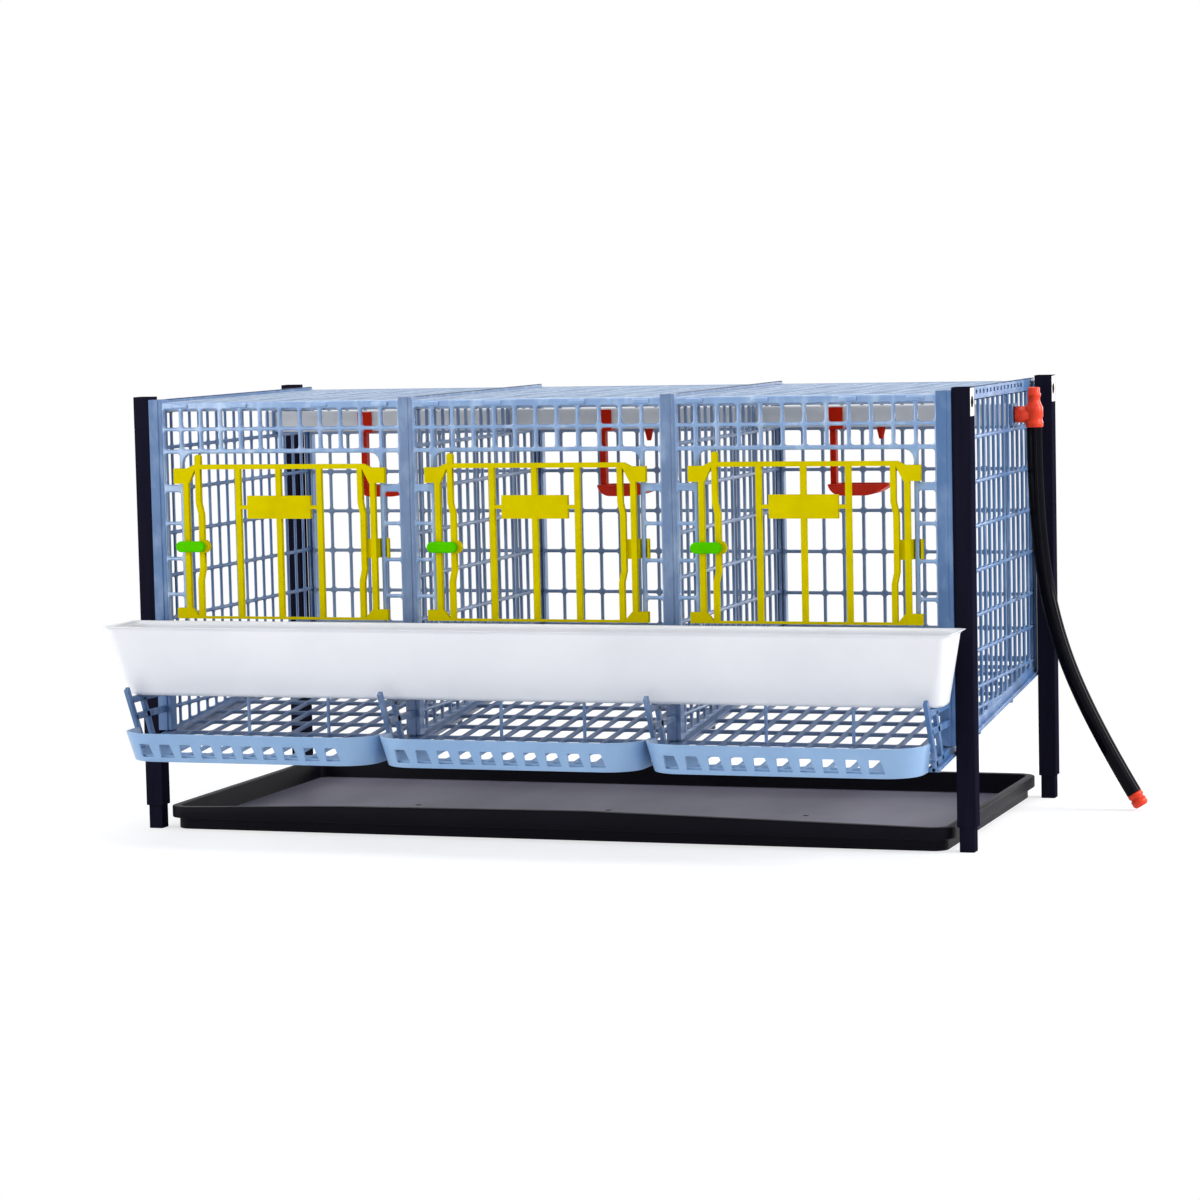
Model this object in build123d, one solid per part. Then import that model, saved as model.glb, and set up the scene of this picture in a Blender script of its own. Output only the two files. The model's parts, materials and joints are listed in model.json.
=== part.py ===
from build123d import *
import math
import os

os.makedirs("parts", exist_ok=True)

# All sizes in millimetres. X runs to the right, Y from the front posts to the rear, Z up from the floor.

# Cage frame
bay_pitch = 375.0
bay_count = 3
post_size = 25.0
post_wall = 2.2
cage_top = 604.0
post_proud = 4.0
panel_step = 4.0
cage_depth = 534.0
foot_height = 33.0
foot_size = 20.0
socket_depth = 45.0
seat_gap = 0.2

# Plates at the post tops that lock one tier to the next
lock_plate_height = 37.0
lock_plate_thick = 1.2
lock_plate_side = 1.0
lock_hole_radius = 8.0
lock_hole_sides = 12

# Mesh common to every moulded panel
mesh_pitch = 30.0
mesh_bar = 5.0

# Side panels and partitions
web_thick = 6.0
web_bar_thick = 3.2
flange_width = 20.0
flange_depth = 18.0
flange_proud = 4.0
flange_groove = 3.0
flange_groove_deep = 1.0
rear_proud = 6.0
side_rail_height = 18.0
end_cross_height = 356.0
cross_bar = 6.0
slope_rail = 14.0
ledge_width = 16.0
peg_radius = 4.0
peg_sides = 8
peg_length = 8.0
peg_depths = (172.0, 371.0)

# Guard under the feed trough, part of each side panel
guard_reach = 108.0
guard_bar = 9.0
guard_foot = (-70.0, 120.0)
guard_tip = (-120.5, 212.0)
guard_strut_foot = (-39.5, 128.0)
guard_strut_top = (-72.0, 195.5)
guard_mid_front = -98.0
guard_mid_height = 171.0

# Sloping floor with its egg lip
floor_slope = 0.1
floor_height = 139.0
floor_thick = 8.0
floor_front = -150.0
lip_height = 40.0
lip_lean = 13.0
lip_wall = 3.5
lip_corner = 45.0
lip_facets = 3
lip_return = 70.0
lip_hole_count = 10
lip_hole_pitch = 30.5
lip_hole_first = -153.6
lip_hole_width = 20.5
lip_hole_top_width = 15.0
lip_hole_height = 18.2
lip_hole_rise = 6.6

# Front panel
front_face = -3.0
front_thick = 7.0
panel_rail = 10.0
edge_stile = 2.0
lug_width = 24.0
lug_height = 6.0
lug_proud = 1.2
lug_offsets = (-150.0, -60.0, 60.0, 150.0)
header_drop = 72.5
header_bar = 6.0
jamb_offset = 150.0
jamb_width = 6.0
arch_radius = 13.0
ladder_steps = 5
thick_rung = 10.6
sill_height = 282.0
bottom_rail_height = 210.0
bottom_rail = 8.0
sill_bar_offsets = (-150.0, -50.0, 50.0, 150.0)
rod_offset = 60.0
rod_size = 5.0

# Rear and top panels
rear_bottom = 196.0
rear_thick = 4.0
top_thick = 3.6
top_rib_thick = 4.0
top_rib_height = 13.0
top_columns = 4
top_bar = 6.0
top_border = 12.0

# Doors, measured from the middle of their bay
door_front = -13.0
door_thick = 7.0
door_clear = 2.0
door_drop = 17.8
door_bar = 7.5
door_rail = 6.4
door_sill = 3.0
door_plain_bar = 61.0
door_bent_bar = 121.5
door_bend = 3.5
door_bend_reach = (54.0, 38.0)
door_frame_bar = 140.0
ear_reach = 158.0
ear_inner = 135.5
ear_back = -4.5
ear_slope = 2.0
upper_ear_drop = 5.2
upper_ear_height = 21.0
lower_ear_height = 14.5
plate_width = 94.5
plate_height = 31.5
plate_drop = 59.2
link_height = 5.0
pin_offset = -121.0
pin_width = 8.5
pin_height = 13.8
pin_chamfer = 2.5
clip_height = 26.2
clip_fit = 0.6
clip_wall = 3.0
clip_clearance = 0.3
clip_sides = 12

# Turn latches
latch_offset = -116.0
latch_drop = 6.6
latch_boss = 9.5
latch_sides = 12
latch_shaft = 4.0
latch_fit = 0.05
latch_thick = 7.2
latch_collar = 6.0
latch_collar_thick = 1.5
latch_length = 40.0
latch_half = 7.5
latch_tip = 3.4
latch_neck = 11.5
latch_head = 10.5
latch_head_side = 6.5
latch_head_flat = 4.7
latch_play = 0.3

# Feed trough
trough_end_inset = 1.5
trough_front = -127.0
trough_rear = -24.5
trough_rim_height = 297.5
trough_rim = 5.0
trough_end_rim = 10.5
trough_rim_corner = 10.0
trough_rim_thick = 4.0
trough_bottom = 200.0
trough_end_slope = 30.0
trough_base_front = -95.0
trough_base_rear = -34.0
trough_wall = 3.0
trough_corner = 30.0

# Manure tray
tray_side_gap = 6.5
tray_front = -5.0
tray_rear_proud = 3.0
tray_top = 32.0
tray_wall = 3.0
tray_lip = 10.0
tray_skirt = 16.0
tray_corner = 30.0
tray_roll = 6.0
tray_rise = 9.5
tray_hole_radius = 4.5
tray_hole_sides = 8
tray_hole_pitch = 292.0

# Water pipe and drinkers
pipe_size = 30.0
pipe_wall = 2.5
pipe_from_rear = 119.0
pipe_drop = 48.0
pipe_left_overhang = 9.5
collar_border = 7.0
plug_length = 15.0
drinker_offsets = (-51.0, -50.0, -78.0)
saddle_width = 22.0
saddle_wall = 2.5
saddle_step = 1.5
arm_width = 8.5
arm_depth = 12.0
cup_length = 89.0
cup_drop = 96.0
cup_deep = 16.0
cup_wall = 2.5
cup_width = 46.0
cup_nose = 20.0
cup_knee = 20.5
cup_keel = 53.4
cup_heel = (6.1, 10.9)
cup_prow = (75.6, 9.9)
cup_inner_heel = 6.4
cup_inner_prow = (73.0, 8.0)
cup_inner_tip = 84.0
nipple_offset = 74.0
nipple_head_radius = 7.0
nipple_head_length = 6.0
nipple_radius = 5.2
nipple_length = 17.5
nipple_sides = 8

# Hose and its two fittings
fitting_offset = 26.5
fitting_fall = 18.0
fitting_sides = 12
fitting_radius = 12.75
fitting_shoulder_rise = 10.0
fitting_neck_rise = 19.0
fitting_neck = 8.5
fitting_rise = 38.0
fitting_ring = 9.8
fitting_ring_rise = 27.0
fitting_ring_thick = 4.0
collar_radius = 10.5
collar_sides = 8
hose_radius = 11.0
hose_sides = 12
hose_end_radius = 11.4
hose_end_length = 21.0
hose_end_bore = 6.0
hose_end_bore_deep = 15.0
hose_plumb = 112.0
hose_points = ((20.0, 268.0), (74.5, 128.0), (135.9, 24.7))
hose_bend_share = 0.45

# Sizes worked out from those above
post_top = cage_top + post_proud
panel_top = cage_top - panel_step
cage_half = bay_pitch * bay_count / 2 + flange_width / 2 + post_size
rear_face = cage_depth + rear_proud
front_edge = floor_front - lip_lean
middle_depth = (front_edge + rear_face) / 2
bay_middles = [bay_pitch * (bay - (bay_count - 1) / 2) for bay in range(bay_count)]
side_lines = [bay_pitch * (line - bay_count / 2) for line in range(bay_count + 1)]
panel_half = bay_pitch / 2 - flange_width / 2 - seat_gap
floor_half = bay_pitch / 2 - web_thick / 2 - seat_gap
flange_back = flange_depth - flange_proud
rear_flange_front = cage_depth - flange_back
hinge_depth = front_face + front_thick / 2
lip_foot = floor_height + floor_slope * floor_front - floor_thick
header_height = cage_top - header_drop
header_low, header_high = header_height - header_bar / 2, header_height + header_bar / 2
ladder_step = (header_height - sill_height) / ladder_steps
rung_heights = [sill_height + ladder_step * step for step in range(1, ladder_steps - 1)]
thick_rung_height = header_height - ladder_step
door_bottom = trough_rim_height + door_clear
door_top = header_height - door_drop
door_middle = (door_bottom + door_top) / 2
latch_pivot = (latch_offset, door_middle - latch_drop)
upper_ear = (door_top - upper_ear_drop - upper_ear_height, door_top - upper_ear_drop)
lower_ear_top = door_bottom + lower_ear_height
plate_middle = door_top - plate_drop
clip_bore = math.hypot(jamb_width, front_thick) / 2 + clip_fit
trough_half = cage_half - trough_end_inset
trough_base_half = trough_half - trough_end_slope
tray_half = cage_half - post_size - tray_side_gap
tray_rear = cage_depth + tray_rear_proud
pipe_depth = cage_depth - pipe_from_rear
pipe_middle = cage_top - pipe_drop
cup_rim = pipe_middle - cup_drop
cup_bottom = cup_rim - cup_deep
pipe_left_end = side_lines[0] - web_thick / 2 - pipe_left_overhang
pipe_right_end = side_lines[-1] - web_thick / 2 - seat_gap
collar_start = pipe_right_end + seat_gap
fitting_x = side_lines[-1] + web_thick / 2 + fitting_offset
fitting_bottom = pipe_middle - fitting_fall
door_back = door_front + door_thick
mesh_steps = int((panel_half - edge_stile) // mesh_pitch)


def block(x0, x1, y0, y1, z0, z1):
    """A box between two opposite corners."""
    centre = Pos((x0 + x1) / 2, (y0 + y1) / 2, (z0 + z1) / 2)
    return centre * Box(x1 - x0, y1 - y0, z1 - z0)


def rect(a0, a1, b0, b1):
    """A rectangle between two opposite corners of a sketch."""
    return Pos((a0 + a1) / 2, (b0 + b1) / 2) * Rectangle(a1 - a0, b1 - b0)


def shape(points):
    """A filled outline through sketch points."""
    return make_face(Polyline(*points, close=True))


def strut(start, end, width):
    """A straight bar between two sketch points."""
    along, up = end[0] - start[0], end[1] - start[1]
    middle = Pos((start[0] + end[0]) / 2, (start[1] + end[1]) / 2)
    turn = Rot(0, 0, math.degrees(math.atan2(up, along)))
    return middle * turn * Rectangle(math.hypot(along, up), width)


def upright(sketch, y0, y1):
    """A sketch drawn in X and Z, made solid from depth y0 to depth y1."""
    face_on = Plane((0, y1, 0), x_dir=(1, 0, 0), z_dir=(0, -1, 0))
    return extrude(face_on * sketch, amount=y1 - y0)


def sideways(sketch, x0, x1):
    """A sketch drawn in Y and Z, made solid from x0 to x1."""
    side_on = Plane((x0, 0, 0), x_dir=(0, 1, 0), z_dir=(1, 0, 0))
    return extrude(side_on * sketch, amount=x1 - x0)


def gaps_between(bars, bar_width, start, end):
    """Open spans left between bars standing at the given places."""
    edges = [start]
    for bar in bars:
        edges += [bar - bar_width / 2, bar + bar_width / 2]
    edges.append(end)
    return list(zip(edges[0::2], edges[1::2]))


def floor_at(depth):
    """Height of the floor's upper face at a depth."""
    return floor_height + floor_slope * depth


def save(name, part):
    """Write one node, moved so that the origin is below the middle of the cage."""
    export_step(Pos(0, -middle_depth, 0) * part, f"parts/{name}.step")


# Posts with a square foot below and a socket on top, and the lock plates let into the sockets' outer faces
def make_post(side, rear):
    x0 = side * (cage_half - post_size / 2) - post_size / 2
    y0 = cage_depth - post_size if rear else 0.0
    middle_x, middle_y = x0 + post_size / 2, y0 + post_size / 2
    bore = post_size / 2 - post_wall
    foot = foot_size / 2
    bar_top = post_top - socket_depth
    post = block(x0, x0 + post_size, y0, y0 + post_size, foot_height, bar_top)
    post += block(middle_x - foot, middle_x + foot, middle_y - foot, middle_y + foot, 0, foot_height)
    socket = block(x0, x0 + post_size, y0, y0 + post_size, bar_top + seat_gap, post_top)
    socket -= block(middle_x - bore, middle_x + bore, middle_y - bore, middle_y + bore, bar_top, post_top)
    outer = side * cage_half
    inner = outer - side * lock_plate_thick
    low, high = post_top - lock_plate_side - lock_plate_height, post_top - lock_plate_side
    recess = block(min(outer, inner), max(outer, inner), y0 + lock_plate_side,
                   y0 + post_size - lock_plate_side, low, high)
    hole_depth = post_wall + seat_gap
    hole = extrude(RegularPolygon(lock_hole_radius, lock_hole_sides), amount=hole_depth, both=True)
    hole = Pos(outer, middle_y, (low + high) / 2) * Rot(0, 90, 0) * hole
    plate = block(min(outer, inner + side * seat_gap / 2), max(outer, inner + side * seat_gap / 2),
                  y0 + lock_plate_side + seat_gap, y0 + post_size - lock_plate_side - seat_gap,
                  low + seat_gap, high - seat_gap)
    return post, socket - recess - hole, plate - hole


lock_plates = []
for side, side_name in ((-1, "left"), (1, "right")):
    for rear, end_name in ((False, "front"), (True, "rear")):
        post, socket, lock_plate = make_post(side, rear)
        lock_plates.append(lock_plate)
        save(f"post_{end_name}_{side_name}", post)
        save(f"post_socket_{end_name}_{side_name}", socket)
save("post_lock_plates", Part() + lock_plates)


# Side panels: slotted web, flanges front and rear, sloping rail with a ledge for the floors, guard in front
def make_side_panel(line, cross_heights, pipe_hole):
    rail_low = cage_top - side_rail_height
    web = shape([(0, floor_at(0) - slope_rail),
                 (rear_flange_front, floor_at(rear_flange_front) - slope_rail),
                 (rear_flange_front, cage_top), (0, cage_top)])
    first = flange_back + mesh_bar / 2
    columns = int((rear_flange_front - first) // mesh_pitch)
    bars = [first + mesh_pitch * step for step in range(1, columns + 1)]
    slots = []
    for near, far in gaps_between(bars, mesh_bar, flange_back, rear_flange_front):
        if far - near < mesh_bar:
            continue
        low_edge = [(near, floor_at(near)), (far, floor_at(far))]
        for cross in cross_heights:
            below, above = cross - cross_bar / 2, cross + cross_bar / 2
            slots.append(shape(low_edge + [(far, below), (near, below)]))
            low_edge = [(near, above), (far, above)]
        slots.append(shape(low_edge + [(far, rail_low), (near, rail_low)]))
    web -= slots
    collar = pipe_size / 2 + collar_border
    opening = pipe_hole / 2 + seat_gap
    web += rect(pipe_depth - collar, pipe_depth + collar, pipe_middle - collar, pipe_middle + collar)
    web -= rect(pipe_depth - opening, pipe_depth + opening, pipe_middle - opening, pipe_middle + opening)
    rail_end = floor_at(-guard_reach)
    trough_seat = trough_bottom - seat_gap
    guard = shape([(-guard_reach, rail_end - slope_rail), (flange_back, floor_at(flange_back) - slope_rail),
                   (flange_back, floor_at(flange_back)), (-guard_reach, rail_end)])
    guard += [
        strut(guard_foot, guard_tip, guard_bar),
        strut(guard_strut_foot, guard_strut_top, guard_bar),
        strut((guard_mid_front, guard_mid_height), (flange_back, guard_mid_height), guard_bar),
        rect(guard_strut_top[0] - guard_bar, flange_back, trough_seat - guard_bar, trough_seat),
    ]
    panel = sideways(web, line - web_bar_thick / 2, line + web_bar_thick / 2)
    panel += sideways(guard, line - web_thick / 2, line + web_thick / 2)
    half, ledge_half = flange_width / 2, ledge_width / 2
    flange_low = floor_at(flange_back) + seat_gap
    panel += block(line - half, line + half, -flange_proud, flange_back, flange_low, panel_top)
    rear_low = floor_at(rear_face) + seat_gap
    panel += block(line - half, line + half, rear_flange_front, rear_face, rear_low, panel_top)
    panel += block(line - web_thick / 2, line + web_thick / 2, -flange_proud, rear_face, rail_low, cage_top)
    ledge_top = slope_rail - floor_thick - seat_gap
    ledge = [(depth, floor_at(depth) - slope_rail + rise)
             for depth, rise in ((-guard_reach, 0), (rear_flange_front, 0),
                                 (rear_flange_front, ledge_top), (-guard_reach, ledge_top))]
    panel += sideways(shape(ledge), line - ledge_half, line + ledge_half)
    for depth in peg_depths:
        peg_top = floor_at(depth) - slope_rail + floor_slope * peg_radius
        peg = Pos(line, depth, peg_top - peg_length) * RegularPolygon(peg_radius, peg_sides)
        panel += extrude(peg, amount=peg_length)
    for groove in (-flange_width / 4, flange_width / 4):
        panel -= block(line + groove - flange_groove / 2, line + groove + flange_groove / 2,
                       -flange_proud, -flange_proud + flange_groove_deep, flange_low, panel_top)
    return panel


save("side_panel_left", make_side_panel(side_lines[0], [end_cross_height], pipe_size))
save("side_panel_right", make_side_panel(side_lines[-1], [end_cross_height], 2 * collar_radius))
for number, line in enumerate(side_lines[1:-1], start=1):
    save(f"partition_{number}", make_side_panel(line, [], pipe_size))


# Fronts: fine mesh above, door opening between two ladders, sill mesh behind the trough with two rods below
def make_front(middle):
    mesh_bars = [mesh_pitch * step for step in range(-mesh_steps, mesh_steps + 1)]
    inner_edge = panel_half - edge_stile
    rail_low = panel_top - panel_rail
    sill_low, sill_high = sill_height - mesh_bar / 2, sill_height + mesh_bar / 2
    holes = []
    upper_rows = gaps_between([(header_high + rail_low) / 2], mesh_bar, header_high, rail_low)
    for left, right in gaps_between(mesh_bars, mesh_bar, -inner_edge, inner_edge):
        holes += [rect(left, right, low, high) for low, high in upper_rows]
    jamb_in, jamb_out = jamb_offset - jamb_width / 2, jamb_offset + jamb_width / 2
    opening = rect(-jamb_in, jamb_in, sill_high, header_low)
    holes.append(fillet(opening.vertices().sort_by(Axis.Y)[-2:], arch_radius))
    rungs = gaps_between(rung_heights, mesh_bar, sill_high, thick_rung_height - thick_rung / 2)
    rungs.append((thick_rung_height + thick_rung / 2, header_low))
    for low, high in rungs:
        holes += [rect(jamb_out, inner_edge, low, high), rect(-inner_edge, -jamb_out, low, high)]
    for left, right in gaps_between(sill_bar_offsets, mesh_bar, -inner_edge, inner_edge):
        holes.append(rect(left, right, bottom_rail_height + bottom_rail / 2, sill_low))
    foot = bottom_rail_height - bottom_rail / 2
    sheet = rect(-panel_half, panel_half, foot, panel_top) - holes
    ladder_span = (sill_high + seat_gap, header_low - seat_gap)
    regions = {
        "mesh": rect(-panel_half, panel_half, header_low, panel_top)
        + rect(-jamb_in, jamb_in, header_low - arch_radius, header_low),
        "ladder_left": rect(-panel_half, -jamb_in - seat_gap, *ladder_span),
        "ladder_right": rect(jamb_in + seat_gap, panel_half, *ladder_span),
        "sill": rect(-panel_half, panel_half, foot, sill_high),
    }
    pieces = {name: upright(sheet & region, front_face, front_face + front_thick)
              for name, region in regions.items()}
    lug_low = rail_low + (panel_rail - lug_height) / 2
    for offset in lug_offsets:
        pieces["mesh"] += block(offset - lug_width / 2, offset + lug_width / 2,
                                front_face - lug_proud, front_face, lug_low, lug_low + lug_height)
    rod_front, rod_back = hinge_depth - rod_size / 2, hinge_depth + rod_size / 2
    for offset in (-rod_offset, rod_offset):
        pieces["sill"] += block(offset - rod_size / 2, offset + rod_size / 2, rod_front, rod_back,
                                floor_at(rod_back) + seat_gap, bottom_rail_height)
    return {name: Pos(middle, 0, 0) * piece for name, piece in pieces.items()}


def make_rear_panel(middle):
    mesh_bars = [mesh_pitch * step for step in range(-mesh_steps, mesh_steps + 1)]
    inner_edge = panel_half - edge_stile
    low, high = rear_bottom + bottom_rail, panel_top - panel_rail
    columns = gaps_between(mesh_bars, mesh_bar, -inner_edge, inner_edge)
    holes = [rect(left, right, low, high) for left, right in columns]
    sheet = rect(-panel_half, panel_half, rear_bottom, panel_top) - holes
    return Pos(middle, 0, 0) * upright(sheet, rear_flange_front, rear_flange_front + rear_thick)


def make_top_panel(middle):
    half = panel_half
    front, rear = front_face + front_thick + seat_gap, rear_flange_front - seat_gap
    column = (2 * (half - top_border) + top_bar) / top_columns
    holes = []
    for across in range(top_columns):
        left = -half + top_border + column * across
        holes.append(rect(left, left + column - top_bar, front + top_border, rear - top_border))
    sheet = rect(-half, half, front, rear) - holes
    panel = Pos(0, 0, panel_top - top_thick) * extrude(sheet, amount=top_thick)
    panel += block(-half, half, front, front + top_rib_thick, panel_top - top_rib_height, panel_top)
    return Pos(middle, 0, 0) * panel


# Floors: sloping grid that runs out under the front to a leaning lip, in three walls, that stops the eggs
def egg_plan(inset, back):
    """Plan outline whose front corners are rounded in flat facets."""
    half, radius = floor_half - inset, lip_corner - inset
    centre_x, centre_y = floor_half - lip_corner, floor_front + lip_corner
    turns = [math.pi / 2 * facet / lip_facets for facet in range(lip_facets + 1)]
    right = [(centre_x + radius * math.sin(turn), centre_y - radius * math.cos(turn)) for turn in turns]
    left = [(-x, y) for x, y in right[::-1]]
    return shape(left + right + [(half, back), (-half, back)])


def lip_block(inset, back):
    """An egg plan raised along the lip's lean, from the foot of the lip to its top."""
    lean = Vector(0, -lip_lean, lip_height)
    return extrude(Pos(0, 0, lip_foot) * egg_plan(inset, back), amount=lean.length, dir=lean)


def make_floor(middle):
    slab = sideways(shape([(front_edge, floor_at(front_edge) - floor_thick),
                           (rear_flange_front, floor_at(rear_flange_front) - floor_thick),
                           (rear_flange_front, floor_at(rear_flange_front)),
                           (front_edge, floor_at(front_edge))]), -floor_half, floor_half)
    bars = [mesh_pitch * step for step in range(-mesh_steps, mesh_steps + 1)]
    columns = gaps_between(bars, mesh_bar, -panel_half + mesh_bar, panel_half - mesh_bar)
    holes = [rect(left, right, mesh_bar, rear_flange_front - mesh_bar) for left, right in columns]
    slab -= extrude(Sketch() + holes, amount=floor_at(rear_face))
    lip_back = floor_front + lip_return
    slab_back = lip_back + seat_gap
    low = lip_foot - lip_wall
    around = block(-floor_half, floor_half, front_edge, slab_back, low, low + lip_height)
    within = extrude(Pos(0, 0, low) * egg_plan(lip_wall + seat_gap, slab_back), amount=lip_height)
    slab -= around - within
    under = shape([(front_edge, 0), (0, 0), (0, floor_at(0) - floor_thick),
                   (front_edge, floor_at(front_edge) - floor_thick)])
    lip = lip_block(0, lip_back) - lip_block(lip_wall, lip_back + lip_wall)
    lip -= sideways(under, -floor_half, floor_half)
    hole_low, hole_high = lip_foot + lip_hole_rise, lip_foot + lip_hole_rise + lip_hole_height
    for number in range(lip_hole_count):
        left = lip_hole_first + lip_hole_pitch * number
        hole = shape([(left, hole_low), (left + lip_hole_width, hole_low),
                      (left + lip_hole_top_width, hole_high), (left, hole_high)])
        lip -= upright(hole, front_edge, floor_front + lip_lean)
    first_bend = floor_half - lip_corner + lip_corner * math.sin(math.pi / 2 / lip_facets)
    for slit in (-first_bend, first_bend):
        lip -= block(slit - seat_gap / 2, slit + seat_gap / 2, front_edge, lip_back,
                     lip_foot, lip_foot + lip_height)
    return Pos(middle, 0, 0) * slab, Pos(middle, 0, 0) * lip


# Doors: bent bars, corner ears, blank plate and boss for the latch, with a clip round the right jamb
def bent_bar(offset):
    """A door bar that steps sideways between two heights."""
    outer, inner = door_bend_reach
    steps = [(door_bottom, 0), (door_middle - outer, 0), (door_middle - inner, door_bend),
             (door_middle + inner, door_bend), (door_middle + outer, 0), (door_top, 0)]
    left = [(offset + shift - door_bar / 2, height) for height, shift in steps]
    right = [(offset + shift + door_bar / 2, height) for height, shift in steps]
    return shape(left + right[::-1])


def ear_outlines(hand):
    """Upper and lower corner ears of one hand."""
    bend = door_bent_bar - door_bar / 2
    upper = [(bend, door_top), (bend + door_bar + ear_slope, door_top),
             (door_frame_bar - ear_slope, upper_ear[1]), (ear_reach, upper_ear[1]),
             (ear_reach, upper_ear[0]), (ear_inner, upper_ear[0]),
             (bend + door_bar, door_top - door_rail), (bend, door_top - door_rail)]
    lower = [(bend, door_bottom), (ear_reach, door_bottom), (ear_reach, lower_ear_top),
             (ear_inner, lower_ear_top), (bend + door_bar, door_bottom + door_sill),
             (bend, door_bottom + door_sill)]
    return [shape([(hand * x, z) for x, z in outline]) for outline in (upper, lower)]


def make_door(middle):
    reach = door_bent_bar
    bars = [bent_bar(-reach), bent_bar(reach)]
    for offset in (-door_plain_bar, 0.0, door_plain_bar):
        bars.append(rect(offset - door_bar / 2, offset + door_bar / 2, door_bottom, door_top))
    for offset in (-door_frame_bar, door_frame_bar):
        bars.append(rect(offset - door_bar / 2, offset + door_bar / 2, door_bottom, upper_ear[1]))
    bars.append(rect(-reach, reach, door_top - door_rail, door_top))
    bars.append(rect(-reach, reach, door_bottom, door_bottom + door_sill))
    bars += ear_outlines(1) + ear_outlines(-1)
    bars.append(rect(-plate_width / 2, plate_width / 2, plate_middle - plate_height / 2,
                     plate_middle + plate_height / 2))
    bars.append(rect(-door_plain_bar, door_plain_bar, plate_middle - link_height / 2,
                     plate_middle + link_height / 2))
    pin = rect(pin_offset - pin_width / 2, pin_offset + pin_width / 2,
               door_top - door_rail, door_top + pin_height)
    bars.append(chamfer(pin.vertices().sort_by(Axis.Y)[-2:], pin_chamfer))
    bars.append(Pos(*latch_pivot) * RegularPolygon(latch_boss, latch_sides))
    grille = Sketch() + bars
    grille -= Pos(*latch_pivot) * Circle(latch_shaft + latch_fit)
    door = upright(grille, door_front, door_back)
    ear_pads = rect(door_frame_bar, ear_reach, *upper_ear)
    ear_pads += rect(door_frame_bar, ear_reach, door_bottom, lower_ear_top)
    ear_pads += mirror(ear_pads, about=Plane.YZ)
    door += upright(ear_pads, door_back, ear_back)
    clip_low = rung_heights[1] + mesh_bar / 2 + clip_clearance
    clip_top = clip_low + clip_height
    root = jamb_offset - clip_bore - clip_wall / 2
    door += block(reach, root, door_back - clip_wall, door_back, clip_low, clip_top)
    outer = clip_bore + clip_wall
    hook = RegularPolygon(outer, clip_sides, major_radius=False)
    hook -= RegularPolygon(clip_bore, clip_sides, major_radius=False)
    clip = extrude(Pos(jamb_offset, hinge_depth, clip_low) * hook, amount=clip_height)
    mouth = 2 * outer
    clip -= block(jamb_offset - mouth, jamb_offset + mouth, hinge_depth - mouth,
                  hinge_depth - clip_bore / 2, clip_low, clip_top)
    clip += block(root - clip_wall, root + clip_wall / 4, door_back + seat_gap, hinge_depth,
                  clip_low, clip_top)
    return Pos(middle, 0, 0) * door, Pos(middle, 0, 0) * clip


def make_latch(middle):
    shoulder = latch_half - latch_length
    upper = [(latch_head, latch_head_side), (latch_head_flat, latch_head), (-latch_head_flat, latch_head),
             (-latch_neck, latch_half), (shoulder, latch_half), (-latch_length, latch_tip)]
    outline = upper + [(along, -across) for along, across in upper[::-1]]
    pivot_x, pivot_z = latch_pivot
    lever_back = door_front - latch_play
    lever = Pos(pivot_x, 0, pivot_z) * upright(shape(outline), lever_back - latch_thick, lever_back)
    shaft_end = door_back + latch_play
    turn = Pos(pivot_x, 0, pivot_z)
    lever += turn * upright(Circle(latch_shaft), lever_back, shaft_end)
    collar = RegularPolygon(latch_collar, latch_sides)
    lever += turn * upright(collar, shaft_end, shaft_end + latch_collar_thick)
    return Pos(middle, 0, 0) * lever


for bay, middle in enumerate(bay_middles, start=1):
    for name, piece in make_front(middle).items():
        save(f"front_{name}_{bay}", piece)
    save(f"rear_panel_{bay}", make_rear_panel(middle))
    save(f"top_panel_{bay}", make_top_panel(middle))
    floor_grid, egg_lip = make_floor(middle)
    save(f"floor_{bay}", floor_grid)
    save(f"egg_lip_{bay}", egg_lip)
    door, door_clip = make_door(middle)
    save(f"door_{bay}", door)
    save(f"door_clip_{bay}", door_clip)
    save(f"latch_{bay}", make_latch(middle))


# Feed trough: tapered shell with a flared rim
def rounded(half, front, rear, radius, height):
    """A rounded rectangle at a height."""
    return Pos(0, (front + rear) / 2, height) * RectangleRounded(2 * half, rear - front, radius)


def trough_shell(inset, low, high):
    """The trough's tapered body, drawn in by an inset, with rounded corners."""
    rim = inset + trough_rim
    foot_half, head_half = trough_base_half - inset, trough_half - inset - trough_end_rim
    across = shape([(trough_base_front + inset, low), (trough_base_rear - inset, low),
                    (trough_rear - rim, high), (trough_front + rim, high)])
    along = shape([(-foot_half, low), (foot_half, low), (head_half, high), (-head_half, high)])
    body = sideways(across, -trough_half, trough_half) & upright(along, trough_front, trough_rear)
    corners = [edge for edge in body.edges() if edge.bounding_box().size.Z > (high - low) / 2]
    return fillet(corners, trough_corner - inset)


trough = trough_shell(0, trough_bottom, trough_rim_height)
rim_outline = rounded(trough_half, trough_front, trough_rear, trough_rim_corner,
                      trough_rim_height - trough_rim_thick)
trough += extrude(rim_outline, amount=trough_rim_thick)
trough -= trough_shell(trough_wall, trough_bottom + trough_wall, trough_rim_height)
save("feed_trough", trough)


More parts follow.
